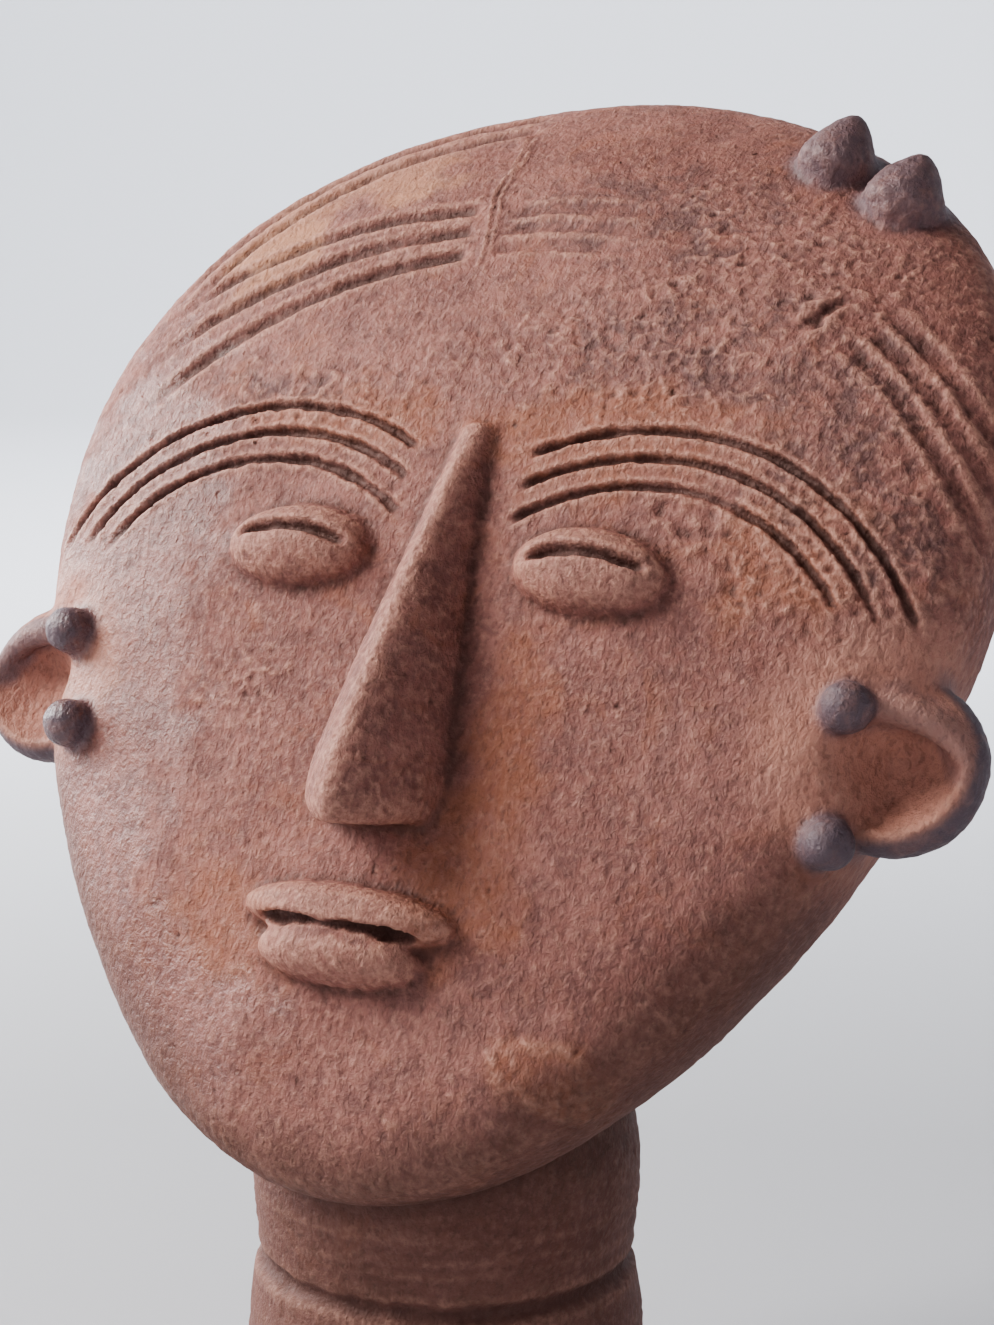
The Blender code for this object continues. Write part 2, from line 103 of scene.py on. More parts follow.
# Eyes and mouth: pellets of clay with a slit
EYE_SPACING = 0.058
EYE_LEVEL = 0.0
EYE_WIDTH = 0.029
EYE_HEIGHT = 0.0155
EYE_RELIEF = 0.0062
EYE_SLIT_WIDTH = 0.0028
EYE_SLIT_DEPTH = 0.0026
EYE_SLIT_ARCH = 0.0022
MOUTH_LEVEL = -0.068
MOUTH_WIDTH = 0.041
LOWER_LIP_WIDTH = 0.032
LIP_HEIGHT = 0.0105
LIP_RELIEF = 0.0072
MOUTH_SLIT_WIDTH = 0.0025
MOUTH_SLIT_DEPTH = 0.0026

# Brows: incised arcs round one centre over each eye
BROW_LINES = 3
BROW_CENTRE = (0.0375, -0.026)
BROW_RADIUS = 0.043
BROW_PITCH = 0.0054
BROW_INNER_END = 0.0105
BROW_OUTER_ANGLE = math.radians(29)
BROW_WIDTH = 0.0020
BROW_DEPTH = 0.0015
BROW_BURR = 0.00032

# Hair: bands of parallel grooves, ended at two partings
HAIR_LINES = 3
HAIR_CENTRE = (0.005, -0.034)
HAIR_RADIUS = 0.1000
HAIR_PITCH = 0.0045
HAIR_LEFT_SHIFT = 0.0065
HAIR_WIDTH = 0.0037
HAIR_DEPTH = 0.0012
LEFT_PARTING = -0.017
MIDDLE_BAND_END = 0.034
RIGHT_PARTING = 0.058
RIGHT_BAND_END = 0.0925
HAIR_BURR = 0.00022
LEFT_BAND_END = -0.078
MIDDLE_BAND_DEPTH = HAIR_DEPTH * 0.32
MIDDLE_BAND_BURR = 0.00030
RIGHT_BAND_DEPTH = HAIR_DEPTH * 0.36
RIGHT_BAND_BURR = 0.00036
EDGE_BAND_DEPTH = HAIR_DEPTH * 0.8
EDGE_BAND_BURR = 0.00020
PARTING_LINE = ((-0.0120, 0.052), (-0.0140, 0.066), (-0.0180, 0.078), (-0.0180, 0.089), (-0.0210, 0.100))
GOUGE_LINE = ((0.0500, 0.0480), (0.0545, 0.0525), (0.0560, 0.0560), (0.0610, 0.0605))
PARTING_WIDTH = 0.0012
PARTING_DEPTH = 0.00014
PARTING_LIP = 0.00048
GOUGE_WIDTH = 0.0036
GOUGE_DEPTH = 0.0007
RIM_LINES = (0.905, 0.950)
RIM_BAND_ANGLES = (math.radians(101), math.radians(153))
BACK_BAND_LEVELS = (0.060, 0.030)
BACK_BAND_SPAN = math.radians(58)

# Ears: a cup open to the front, with a roll over it and a pellet at each end of its rim
LEFT_EAR_LEVEL = -0.0254
RIGHT_EAR_LEVEL = -0.0222
EAR_HEIGHT = 0.0305
LEFT_EAR_REACH = 0.0153
RIGHT_EAR_REACH = 0.0140
EAR_DEPTH = 0.011
EAR_FRONT = 0.0085
EAR_FORWARD = -0.001
EAR_RIM = 0.0023
HOLLOW_FORWARD = 0.0030
HOLLOW_DEPTH = 0.0050
HOLLOW_INWARD = 0.0100
HOLLOW_UPWARD = 0.0085
HOLLOW_OPENING = 0.022
ROLL_PATH = (
    (-0.0050, 0.0076, 0.0078),
    (0.0000, 0.0079, 0.0076),
    (0.0052, 0.0068, 0.0062),
    (0.0098, 0.0045, 0.0042),
    (0.0128, 0.0012, 0.0024),
)
ROLL_RADII = (0.0024, 0.0028, 0.0026, 0.0021, 0.0015)
LEFT_PELLETS = ((0.0746, -0.0188), (0.0692, -0.0362))
RIGHT_PELLETS = ((0.0772, -0.0168), (0.0768, -0.0382))
PELLET_RADIUS = 0.0046
PELLET_STAND = 0.0024

# Knobs on the rim, above the right ear
KNOB_PLACES = ((0.0444, 0.0900), (0.0598, 0.0815))
KNOB_RADIUS = 0.0068
KNOB_HEIGHT = 0.0110
KNOB_FLARE = 1.15
KNOB_TAPER = 0.44
KNOB_LEAN = (0.22, 0.90, 0.10)

# How dark the firing's smoke left the roll of the left and the right ear
ROLL_SMOKE = {-1: 0.75, 1: 0.40}

# Clay as it is pressed together, before its fine relief
CLAY_GRAIN = 0.00058
CLAY_SMOOTHING = 26
OVERLAP = 0.008
BELOW_BASE = 0.006
SMEAR_REACH = 0.0065
SMEAR_ROUNDS = 16
SMEARED = 0.8
FRONT_ENDS = 0.004
FRONT_TRIANGLES = 142000
BACK_TRIANGLES = 50000

# Fine relief: the size of each kind of mark and how far it stands out or sinks in
SHAPING_SIZE = 0.024
SHAPING_HEIGHT = 0.00030
LUMP_SIZE = 0.009
LUMP_HEIGHT = 0.00016
CRUST_SIZE = 0.0048
CRUST_HEIGHT = 0.00014
FOLD_LENGTH = 0.017
FOLD_HEIGHT = 0.0075
FOLD_RISE = 0.00020
STROKE_WIDTH = 0.0014
STROKE_LENGTH = 0.0026
STROKE_HEIGHT = 0.00012
STROKE_CURL = 0.0011
CRUMB_SIZE = 0.0013
CRUMB_HEIGHT = 0.00016
CRUMBLE_SIZE = 0.0032
CRUMBLE_HEIGHT = 0.0006
GRAIN_SIZE = 0.0019
GRAIN_HEIGHT = 0.00010
PIT_COUNT = 200
PIT_RADII = (0.0004, 0.0010)
PIT_DEPTHS = (0.00010, 0.00040)
BRUSH_HEIGHT = 0.00020
BRUSH_SIZE = 0.0016
BRUSH_LENGTH = 0.025

# Places on the front, as (across, up, half width, half height)
CRUSTED = (
    (0.030, 0.043, 0.034, 0.018),
    (0.070, 0.020, 0.018, 0.030),
    (0.050, 0.070, 0.030, 0.020),
    (-0.040, 0.030, 0.022, 0.007),
    (-0.036, -0.026, 0.010, 0.008),
)
CRUMBLED = (
    (0.0475, 0.0120, 0.0080, 0.0060),
    (-0.0160, 0.0130, 0.0050, 0.0045),
    (0.0560, 0.0020, 0.0050, 0.0050),
)
ORANGE_CLAY = (
    (0.026, 0.026, 0.026, 0.010),
    (0.062, 0.008, 0.014, 0.014),
    (-0.028, 0.027, 0.022, 0.006),
    (-0.024, -0.068, 0.013, 0.012),
    (0.020, -0.055, 0.012, 0.014),
    (0.022, -0.030, 0.007, 0.022),
    (-0.0720, -0.0280, 0.009, 0.010),
    (0.0830, -0.0230, 0.016, 0.014),
)
DARK_MOTTLES = (
    (0.025, 0.045, 0.022, 0.009),
    (0.045, 0.046, 0.014, 0.012),
    (0.066, 0.030, 0.016, 0.020),
    (0.080, 0.008, 0.008, 0.016),
    (-0.044, 0.031, 0.016, 0.004),
    (0.020, 0.075, 0.030, 0.012),
)
TAN_SCUFFS = ((-0.0620, 0.0690, 0.011, 0.017), (-0.0470, 0.0850, 0.017, 0.0090))
BURNISHED = ((-0.062, -0.040, 0.020, 0.050), (-0.040, -0.085, 0.026, 0.020), (-0.070, 0.010, 0.018, 0.030))
JAW_SMEAR = (0.0400, -0.0845, 0.0100, 0.0060)
JAW_SMEAR_HEIGHT = 0.00080
CRACKS = (
    ((-0.0560, -0.0745), (-0.0525, -0.0710), (-0.0490, -0.0708)),
    ((-0.0430, -0.0690), (-0.0400, -0.0664), (-0.0360, -0.0655)),
    ((0.0040, -0.0530), (0.0025, -0.0560), (0.0050, -0.0590), (0.0035, -0.0620)),
    ((0.0120, 0.0740), (0.0260, 0.0760), (0.0360, 0.0735)),
)
CRACK_WIDTH = 0.0011
CRACK_DEPTH = 0.00025

# The neck's upper furrow, pressed deeper than the profile has it
FURROW_WIDTH = 0.0040
FURROW_DEPTH = 0.0008
FURROW_BURR = 0.0006

# Colours of the clay, and of the shade and light painted on it
PINK = (0.320, 0.134, 0.106, 1)
DEEP_PINK = (0.225, 0.084, 0.065, 1)
BLOTCH = (0.145, 0.060, 0.052, 1)
SPECKLE = (0.440, 0.205, 0.150, 1)
ORANGE = (0.320, 0.108, 0.050, 1)
DRIFT = (0.310, 0.108, 0.055, 1)
MOTTLE = (0.110, 0.052, 0.048, 1)
SCUFF = (0.520, 0.250, 0.140, 1)
# Painted light for the floor of each ear hollow
PAINTED_EAR_FLOOR_LIGHT = (0.520, 0.245, 0.180, 1)
CREST = (0.500, 0.255, 0.185, 1)
FIBRE = (0.095, 0.034, 0.024, 1)
# Painted shade round the top of the neck under the chin, and along the jaw's lower edge
PAINTED_LOWER_SHADE = (0.054, 0.020, 0.010, 1)
# Painted shade for creases and hollows
PAINTED_CREVICE_SHADE = (0.070, 0.024, 0.016, 1)
# Painted shade inside the grooves
PAINTED_GROOVE_SHADE = (0.075, 0.030, 0.021, 1)
SMOKE = (0.108, 0.078, 0.094, 1)

# Camera, fitted to the photograph's view
IMAGE_HEIGHT = 1325
FOCAL_PIXELS = 3182.9
CAMERA_AZIMUTH = math.radians(28.73)
CAMERA_ELEVATION = math.radians(10.26)
CAMERA_ROLL = math.radians(0.71)
CAMERA_DISTANCE = 0.5664
CAMERA_OFFSET = (0.00253, -0.01182)
SENSOR_HEIGHT = 36.0

# Studio
FLOOR_RADIUS = 1.9
SWEEP_RADIUS = 0.9
WALL_HEIGHT = 2.2
FLOOR_COLOUR = (0.55, 0.56, 0.585, 1)
BACKDROP_WASHES = ((math.radians(25), 70), (math.radians(145), 24), (math.radians(265), 24))
WARM_LIGHT = (1.0, 0.97, 0.94)
SHEEN_LIGHT = (0.96, 0.97, 1.0)
FILL_LIGHT = (0.95, 0.95, 1.0)
WASH_LIGHT = (0.93, 0.95, 1.0)
SKY_COLOUR = (0.88, 0.92, 1.0, 1)
SKY_STRENGTH = 0.075

HALF_HEIGHT = HEAD_HEIGHT / 2
HALF_WIDTH = HEAD_WIDTH / 2
HEAD_FRAME = Matrix.Translation((0, HEAD_SET_BACK, HEAD_LEVEL)) @ Matrix.Rotation(-HEAD_LEAN, 4, "X")
NOISE_SLOPES = 4096


def in_head(across, up, forward):
    """(across, up, forward) as a point of the head's frame, whose forward axis is -Y."""
    return Vector((across, -forward, up))


def skull_point(side, height, front):
    """The skull's surface where side and height run from -1 to 1, on the face or on the back."""
    reach = min(math.hypot(side, height), 1.0)
    across = side * HALF_WIDTH * (1 + CROWN_WIDENING * height)
    if front:
        forward = FACE_DEPTH * (1 - reach**FACE_FLATNESS) ** (1 / FACE_FLATNESS)
    else:
        forward = -BACK_DEPTH * (1 + BACK_WIDENING * height) * math.sqrt(1 - reach**2)
    forward -= CROWN_RECEDES * max(height, 0) ** 2
    return in_head(across, height * HALF_HEIGHT, forward)


def face_point(across, up):
    """The skull's front surface at a place of the face."""
    height = up / HALF_HEIGHT
    side = across / (HALF_WIDTH * (1 + CROWN_WIDENING * height))
    reach = math.hypot(side, height)
    if reach > 1:
        side, height = side / reach, height / reach
    return skull_point(side, height, True)


def back_point(across, up):
    height = up / HALF_HEIGHT
    side = across / (HALF_WIDTH * (1 + CROWN_WIDENING * height))
    return skull_point(side, height, False)


def face_normal(across, up):
    step = HEAD_WIDTH / 200
    along = face_point(across + step, up) - face_point(across - step, up)
    upward = face_point(across, up + step) - face_point(across, up - step)
    return along.cross(upward).normalized()


def mesh_object(name, bm, frame):
    mesh = bpy.data.meshes.new(name)
    bm.to_mesh(mesh)
    bm.free()
    piece = bpy.data.objects.new(name, mesh)
    piece.matrix_world = frame
    bpy.context.scene.collection.objects.link(piece)
    return piece


def ear_centre(side):
    """The middle of an ear's cup, beside the edge of the face."""
    level, reach = (LEFT_EAR_LEVEL, LEFT_EAR_REACH) if side < 0 else (RIGHT_EAR_LEVEL, RIGHT_EAR_REACH)
    height = level / HALF_HEIGHT
    edge = HALF_WIDTH * (1 + CROWN_WIDENING * height) * math.sqrt(1 - height**2)
    return in_head(side * (edge + reach - EAR_HEIGHT / 2), level, EAR_FORWARD)


def hollow_centre(side):
    """The middle of an ear hollow's mouth, before that of the cup."""
    return ear_centre(side) + in_head(0, 0, HOLLOW_FORWARD - EAR_FORWARD)


def hollow_half_width(outward):
    """An ear hollow's half width on its outer side, or on the side of the cheek."""
    return EAR_HEIGHT / 2 - EAR_RIM if outward > 0 else HOLLOW_INWARD


def hollow_half_height(upward):
    """An ear hollow's half height under the roll, or below its middle."""
    return HOLLOW_UPWARD if upward > 0 else EAR_HEIGHT / 2 - EAR_RIM


def pressed_by_ear_hollow(point):
    """A point of the cheek, sunk towards the floor of the ear's hollow where it lies over it."""
    side = math.copysign(1, point.x)
    centre = hollow_centre(side)
    outward = side * (point.x - centre.x)
    upward = point.z - centre.z
    offset = math.hypot(outward / hollow_half_width(outward), upward / hollow_half_height(upward))
    if offset < 1:
        floor = centre.y + HOLLOW_DEPTH
        point.y = max(point.y, floor + (point.y - floor) * offset**2 * (3 - 2 * offset))
    return point


def skull():
    bm = bmesh.new()
    bmesh.ops.create_icosphere(bm, subdivisions=7, radius=1.0)
    for vertex in bm.verts:
        side, back, height = vertex.co
        front = back < 0
        point = skull_point(side, height, front)
        vertex.co = pressed_by_ear_hollow(point) if front else point
    return mesh_object("skull", bm, HEAD_FRAME)


def neck_radius(level):
    """The neck's profile: a tall upper ring, then rings that swell and widen to the base."""
    if level >= FURROW_LEVEL:
        share = min((level - FURROW_LEVEL) / UPPER_RING_HEIGHT, 1)
        return NECK_RADIUS - NECK_TAPER * (level - FURROW_LEVEL) + RING_BULGE * math.sin(math.pi * share)
    below = (FURROW_LEVEL - max(level, 0)) / FURROW_LEVEL
    widened = NECK_RADIUS + (BASE_RADIUS - NECK_RADIUS) * below**BASE_FLARE
    swell = abs(math.sin(math.pi * RINGS_BELOW_FURROW * below)) ** 0.6
    return widened + RING_BULGE * swell


def neck():
    steps = 180
    bottom = -BELOW_BASE
    bm = bmesh.new()
    outline = [bm.verts.new((0, 0, NECK_TOP))]
    for step in range(steps + 1):
        level = NECK_TOP + (bottom - NECK_TOP) * step / steps
        outline.append(bm.verts.new((neck_radius(level), 0, level)))
    outline.append(bm.verts.new((0, 0, bottom)))
    for upper, lower in zip(outline, outline[1:]):
        bm.edges.new((upper, lower))
    piece = mesh_object("neck", bm, Matrix.Identity(4))
    turn = piece.modifiers.new("turn", "SCREW")
    turn.axis = "Z"
    turn.angle = 2 * math.pi
    turn.steps = turn.render_steps = 180
    turn.use_merge_vertices = True
    turn.merge_threshold = 0.00001
    return piece


def blade_section(width, height, root, count=48):
    """A blade's cross-section: a ridge of rounded-triangle form over a root sunk in the face."""
    section = []
    for step in range(count):
        angle = 2 * math.pi * step / count
        across = width / 2 * math.copysign(abs(math.cos(angle)) ** (2 / NOSE_SHARPNESS), math.cos(angle))
        if math.sin(angle) > 0:
            out = height * math.sin(angle) ** (2 / NOSE_SHARPNESS)
        else:
            out = -root * abs(math.sin(angle))
        section.append((across, out))
    return section


def nose():
    """A loft of blade sections, wider and higher towards the base, with a slanting underside."""
    steps = 56
    bm = bmesh.new()
    rings = []
    for step in range(steps + 1):
        share = step / steps
        up = NOSE_TOP + (NOSE_BASE - NOSE_TOP) * share
        width = NOSE_TOP_WIDTH + (NOSE_BASE_WIDTH - NOSE_TOP_WIDTH) * share**1.25
        height = NOSE_TOP_HEIGHT + (NOSE_TIP_HEIGHT - NOSE_TOP_HEIGHT) * share
        past = min(max(share / NOSE_TIP_ROUNDING - 1 / NOSE_TIP_ROUNDING + 1, 0), 1)
        rounding = 0.72 + 0.28 * math.sqrt(1 - past**2)
        height *= rounding
        width *= rounding
        ridge_foot = -face_point(0, up).y
        ring = []
        for across, out in blade_section(width, height, OVERLAP):
            lowered = NOSE_UNDERCUT * share**6 * max(out, 0) / height
            ring.append(bm.verts.new(in_head(across, up - lowered, ridge_foot + out)))
        rings.append(ring)
    for first, second in zip(rings, rings[1:]):
        for a, b, c, d in zip(first, first[1:] + first[:1], second[1:] + second[:1], second):
            bm.faces.new((a, b, c, d))
    bm.faces.new(rings[0][::-1])
    bm.faces.new(rings[-1])
    bmesh.ops.recalc_face_normals(bm, faces=bm.faces)
    return mesh_object("nose", bm, HEAD_FRAME)


def ball(name, centre, radii, direction=Vector((0, -1, 0))):
    """An ellipsoid in the head's frame, its third radius along the direction."""
    turn = Vector((0, 0, 1)).rotation_difference(direction).to_matrix().to_4x4()
    bm = bmesh.new()
    bmesh.ops.create_uvsphere(bm, u_segments=96, v_segments=48, radius=1.0)
    shape = Matrix.Translation(centre) @ turn @ Matrix.Diagonal((*radii, 1))
    bmesh.ops.transform(bm, matrix=shape, verts=bm.verts)
    return mesh_object(name, bm, HEAD_FRAME)


def eye(side):
    centre = face_point(side * EYE_SPACING / 2, EYE_LEVEL)
    outward = face_normal(side * EYE_SPACING / 2, EYE_LEVEL)
    return ball("eye", centre, (EYE_WIDTH / 2, EYE_HEIGHT / 2, EYE_RELIEF), outward)


def lip(width, offset):
    up = MOUTH_LEVEL + offset
    return ball("lip", face_point(0, up), (width / 2, LIP_HEIGHT / 2, LIP_RELIEF), face_normal(0, up))


def ear_hollow(side):
    """The space of an ear's hollow: round behind, open to the front, and narrower towards the cheek."""
    centre = hollow_centre(side)
    bm = bmesh.new()
    bmesh.ops.create_uvsphere(bm, u_segments=96, v_segments=48, radius=1.0)
    for vertex in bm.verts:
        across, backward, up = vertex.co
        depth = HOLLOW_DEPTH * backward**2 if backward > 0 else HOLLOW_OPENING * backward
        half_width = hollow_half_width(side * across)
        vertex.co = centre + Vector((across * half_width, depth, up * hollow_half_height(up)))
    return mesh_object("ear_hollow", bm, HEAD_FRAME)


def ear_cup(side):
    """A round cup, shallow in front and deeper behind, hollowed from the front."""
    bm = bmesh.new()
    bmesh.ops.create_uvsphere(bm, u_segments=96, v_segments=48, radius=1.0)
    for vertex in bm.verts:
        across, backward, up = vertex.co
        depth = backward * (EAR_DEPTH if backward > 0 else EAR_FRONT)
        vertex.co = ear_centre(side) + Vector((across * EAR_HEIGHT / 2, depth, up * EAR_HEIGHT / 2))
    cup = mesh_object("ear_cup", bm, HEAD_FRAME)
    scoop = cup.modifiers.new("scoop", "BOOLEAN")
    scoop.operation = "DIFFERENCE"
    scoop.object = ear_hollow(side)
    return cup


def roll_path(side):
    return [ear_centre(side) + in_head(side * outward, up, forward) for outward, up, forward in ROLL_PATH]


def ear_roll(side, count=32):
    """The bent roll over an ear's hollow, from the upper pellet into the rim."""
    path = roll_path(side)
    bm = bmesh.new()
    rings = []
    for number, (place, radius) in enumerate(zip(path, ROLL_RADII)):
        along = path[min(number + 1, len(path) - 1)] - path[max(number - 1, 0)]
        turn = along.to_track_quat("Z", "Y").to_matrix()
        ring = []
        for step in range(count):
            angle = 2 * math.pi * step / count
            ring.append(bm.verts.new(place + turn @ Vector((math.cos(angle), math.sin(angle), 0)) * radius))
        rings.append(ring)
    for first, second in zip(rings, rings[1:]):
        for a, b, c, d in zip(first, first[1:] + first[:1], second[1:] + second[:1], second):
            bm.faces.new((a, b, c, d))
    bm.faces.new(rings[0][::-1])
    bm.faces.new(rings[-1])
    bmesh.ops.recalc_face_normals(bm, faces=bm.faces)
    return mesh_object("ear_roll", bm, HEAD_FRAME)


def ear(side):
    """A cup on the side of the head, a roll over it and two pellets."""
    pieces = [ear_cup(side), ear_roll(side)]
    for centre, outward in pellet_places(side):
        pieces.append(ball("pellet", centre, (PELLET_RADIUS,) * 3, outward))
    return pieces


def pellet_places(side):
    """The upper and the lower pellet of an ear: each one's centre and the way it stands out."""
    places = []
    for across, up in LEFT_PELLETS if side < 0 else RIGHT_PELLETS:
        outward = face_normal(side * across, up)
        places.append((face_point(side * across, up) + outward * PELLET_STAND, outward))
    return places


def knob(across, up):
    """A round-tipped cone that widens towards the rim it stands on."""
    turn = Vector((0, 0, 1)).rotation_difference(in_head(*KNOB_LEAN)).to_matrix()
    bm = bmesh.new()
    bmesh.ops.create_uvsphere(bm, u_segments=96, v_segments=48, radius=1.0)
    for vertex in bm.verts:
        widened = KNOB_RADIUS * (KNOB_FLARE - max(KNOB_TAPER * vertex.co.z, -vertex.co.z))
        cone = Vector((vertex.co.x * widened, vertex.co.y * widened, vertex.co.z * KNOB_HEIGHT))
        vertex.co = face_point(across, up) + turn @ cone
    return mesh_object("knob", bm, HEAD_FRAME)


def evaluated_mesh(piece):
    bpy.context.view_layer.update()
    graph = bpy.context.evaluated_depsgraph_get()
    return bpy.data.meshes.new_from_object(piece.evaluated_get(graph), depsgraph=graph)


def remove(piece):
    mesh = piece.data
    bpy.data.objects.remove(piece, do_unlink=True)
    bpy.data.meshes.remove(mesh)


def pressed_together(pieces):
    """All the shapes as one body of clay, their joins smoothed over."""
    bm = bmesh.new()
    for piece in pieces:
        mesh = evaluated_mesh(piece)
        mesh.transform(piece.matrix_world)
        bm.from_mesh(mesh)
        bpy.data.meshes.remove(mesh)
    clay = mesh_object("clay", bm, Matrix.Identity(4))
    join = clay.modifiers.new("join", "REMESH")
    join.mode = "VOXEL"
    join.voxel_size = CLAY_GRAIN
    smooth = clay.modifiers.new("smooth", "SMOOTH")
    smooth.factor = 0.5
    smooth.iterations = CLAY_SMOOTHING
    mesh = evaluated_mesh(clay)
    remove(clay)
    return mesh


def smoothstep(low, high, value):
    share = np.clip((value - low) / (high - low), 0, 1)
    return share * share * (3 - 2 * share)


def noise(places, size, seed):
    """Smooth noise in space, between about -1 and 1, whose lumps are of the given size."""
    slopes = np.random.default_rng(seed).normal(size=(NOISE_SLOPES, 3))
    slopes /= np.linalg.norm(slopes, axis=1)[:, None]
    grid = places / size + 1000.5
    cell = np.floor(grid).astype(np.int64)
    part = grid - cell
    blend = part**3 * (part * (part * 6 - 15) + 10)
    total = np.zeros(len(places))
    for corner in product((0, 1), repeat=3):
        lattice = (cell + corner) * (73856093, 19349663, 83492791)
        slope = slopes[(lattice[:, 0] ^ lattice[:, 1] ^ lattice[:, 2]) % NOISE_SLOPES]
        weight = np.prod(np.where(corner, blend, 1 - blend), axis=1)
        total += weight * ((part - corner) * slope).sum(1)
    return total * 1.7


def patch(local, place, seed, raggedness=0.45):
    """1 inside a place on the front and 0 outside it, with an uneven edge."""
    across, up, half_width, half_height = place
    offset = np.hypot((local[:, 0] - across) / half_width, (local[:, 2] - up) / half_height)
    inside = np.zeros(len(local))
    near = np.flatnonzero((offset < 2.2) & (local[:, 1] < 0.012))
    close = local[near]
    uneven = noise(close, 0.008, seed) + 0.5 * noise(close, 0.0035, seed + 1)
    inside[near] = smoothstep(1.25, 0.65, offset[near] + raggedness * uneven)
    inside[near] *= smoothstep(0.012, -0.004, close[:, 1])
    return inside


def patches(local, places, seed):
    total = np.zeros(len(local))
    for number, place in enumerate(places):
        total = np.maximum(total, patch(local, place, seed + 10 * number))
    return total


def arc(centre, radius, start, end, count=48):
    """Points (across, up) of an arc between two angles from the across axis."""
    points = []
    for step in range(count + 1):
        angle = start + (end - start) * step / count
        points.append((centre[0] + radius * math.cos(angle), centre[1] + radius * math.sin(angle)))
    return points


def between(corners, count=10):
    """Points (across, up) along straight runs between corners."""
    points = [corners[0]]
    for start, end in zip(corners, corners[1:]):
        for step in range(1, count + 1):
            share = step / count
            points.append((start[0] + (end[0] - start[0]) * share, start[1] + (end[1] - start[1]) * share))
    return points


def groove(points, width, depth, fade, burr, ragged, steep=2.0):
    """A carved line: its points in the head's frame, and the length of its fade at each end."""
    return {
        "points": points,
        "width": width,
        "depth": depth,
        "fade": fade,
        "burr": burr,
        "ragged": ragged,
        "steep": steep,
    }


def brow_grooves():
    grooves = []
    for side in (-1, 1):
        for line in range(BROW_LINES):
            radius = BROW_RADIUS + BROW_PITCH * line
            inner = math.acos((BROW_INNER_END - BROW_CENTRE[0]) / radius)
            path = arc(BROW_CENTRE, radius, inner, BROW_OUTER_ANGLE - 0.05 * line)
            points = [face_point(side * across, up) for across, up in path]
            grooves.append(groove(points, BROW_WIDTH, BROW_DEPTH, (0.004, 0.014), BROW_BURR, 0.00030, 2.2))
    return grooves


def hair_arc(line, start_across, end_across, shift):
    """One hair groove between two places across the head, on a circle round the hair's centre."""
    centre = (HAIR_CENTRE[0] - shift * line, HAIR_CENTRE[1])
    radius = HAIR_RADIUS + HAIR_PITCH * line
    start = math.acos((start_across - centre[0]) / radius)
    end = math.acos((end_across - centre[0]) / radius)
    return [face_point(across, up) for across, up in arc(centre, radius, start, end)]


def hair_grooves():
    """The bands over the forehead: deep on the left, faint in the middle, soft on the right."""
    grooves = []
    for line in range(HAIR_LINES):
        left = hair_arc(line, LEFT_BAND_END - 0.003 * line, LEFT_PARTING - 0.001 * line, HAIR_LEFT_SHIFT)
        grooves.append(groove(left, HAIR_WIDTH, HAIR_DEPTH, (0.020, 0.003), HAIR_BURR, 0.0002))
        middle = hair_arc(line, LEFT_PARTING + 0.004, MIDDLE_BAND_END, 0)
        grooves.append(groove(middle, HAIR_WIDTH, MIDDLE_BAND_DEPTH, (0.003, 0.045), MIDDLE_BAND_BURR, 0.0003))
        right = hair_arc(line, RIGHT_PARTING + 0.003 * line, RIGHT_BAND_END, 0)
        grooves.append(groove(right, HAIR_WIDTH, RIGHT_BAND_DEPTH, (0.008, 0.008), RIGHT_BAND_BURR, 0.0004))
    return grooves


def parting_grooves():
    """The raised seam that ends the left band, and the gouge that ends the right one."""
    seam = [face_point(across, up) for across, up in between(PARTING_LINE)]
    gouge = [face_point(across, up) for across, up in between(GOUGE_LINE)]
    return [
        groove(seam, PARTING_WIDTH, PARTING_DEPTH, (0.016, 0.006), PARTING_LIP, 0.0004),
        groove(gouge, GOUGE_WIDTH, GOUGE_DEPTH, (0.008, 0.008), PARTING_LIP, 0.0009, 1.6),
    ]


def rim_grooves():
    """The band that follows the outline, left of the parting."""
    grooves = []
    for reach in RIM_LINES:
        points = [skull_point(side, height, True) for side, height in arc((0, 0), reach, *RIM_BAND_ANGLES)]
        grooves.append(groove(points, HAIR_WIDTH, EDGE_BAND_DEPTH, (0.004, 0.020), EDGE_BAND_BURR, 0.0003))
    return grooves


def back_grooves():
    """Bands across the back of the head, plainer than those in front."""
    grooves = []
    for level in BACK_BAND_LEVELS:
        for line in range(HAIR_LINES):
            up = level + HAIR_PITCH * 1.1 * line
            points = []
            for step in range(49):
                angle = BACK_BAND_SPAN * (step / 24 - 1)
                across = HALF_WIDTH * 0.95 * math.sin(angle)
                points.append(back_point(across, up - 0.016 * (1 - math.cos(angle))))
            grooves.append(groove(points, HAIR_WIDTH, EDGE_BAND_DEPTH, (0.030, 0.030), EDGE_BAND_BURR, 0.0004))
    return grooves


def slit(centre_across, up, width, arch, forward, slit_width, depth):
    """A slit across a pellet, arched upwards."""
    points = []
    for step in range(31):
        share = step / 15 - 1
        rise = up + arch * (1 - share**2)
        stand = in_head(0, 0, forward * (1 - 0.6 * share**2))
        points.append(face_point(centre_across + share * width / 2, rise) + stand)
    return groove(points, slit_width, depth, (0.003, 0.003), 0.0002, 0.0003, 3)


def face_slits():
    slits = [slit(0, MOUTH_LEVEL, MOUTH_WIDTH * 0.8, 0, LIP_RELIEF, MOUTH_SLIT_WIDTH, MOUTH_SLIT_DEPTH)]
    for side in (-1, 1):
        place = (side * EYE_SPACING / 2, EYE_LEVEL, EYE_WIDTH * 0.8, EYE_SLIT_ARCH)
        slits.append(slit(*place, EYE_RELIEF, EYE_SLIT_WIDTH, EYE_SLIT_DEPTH))
    return slits


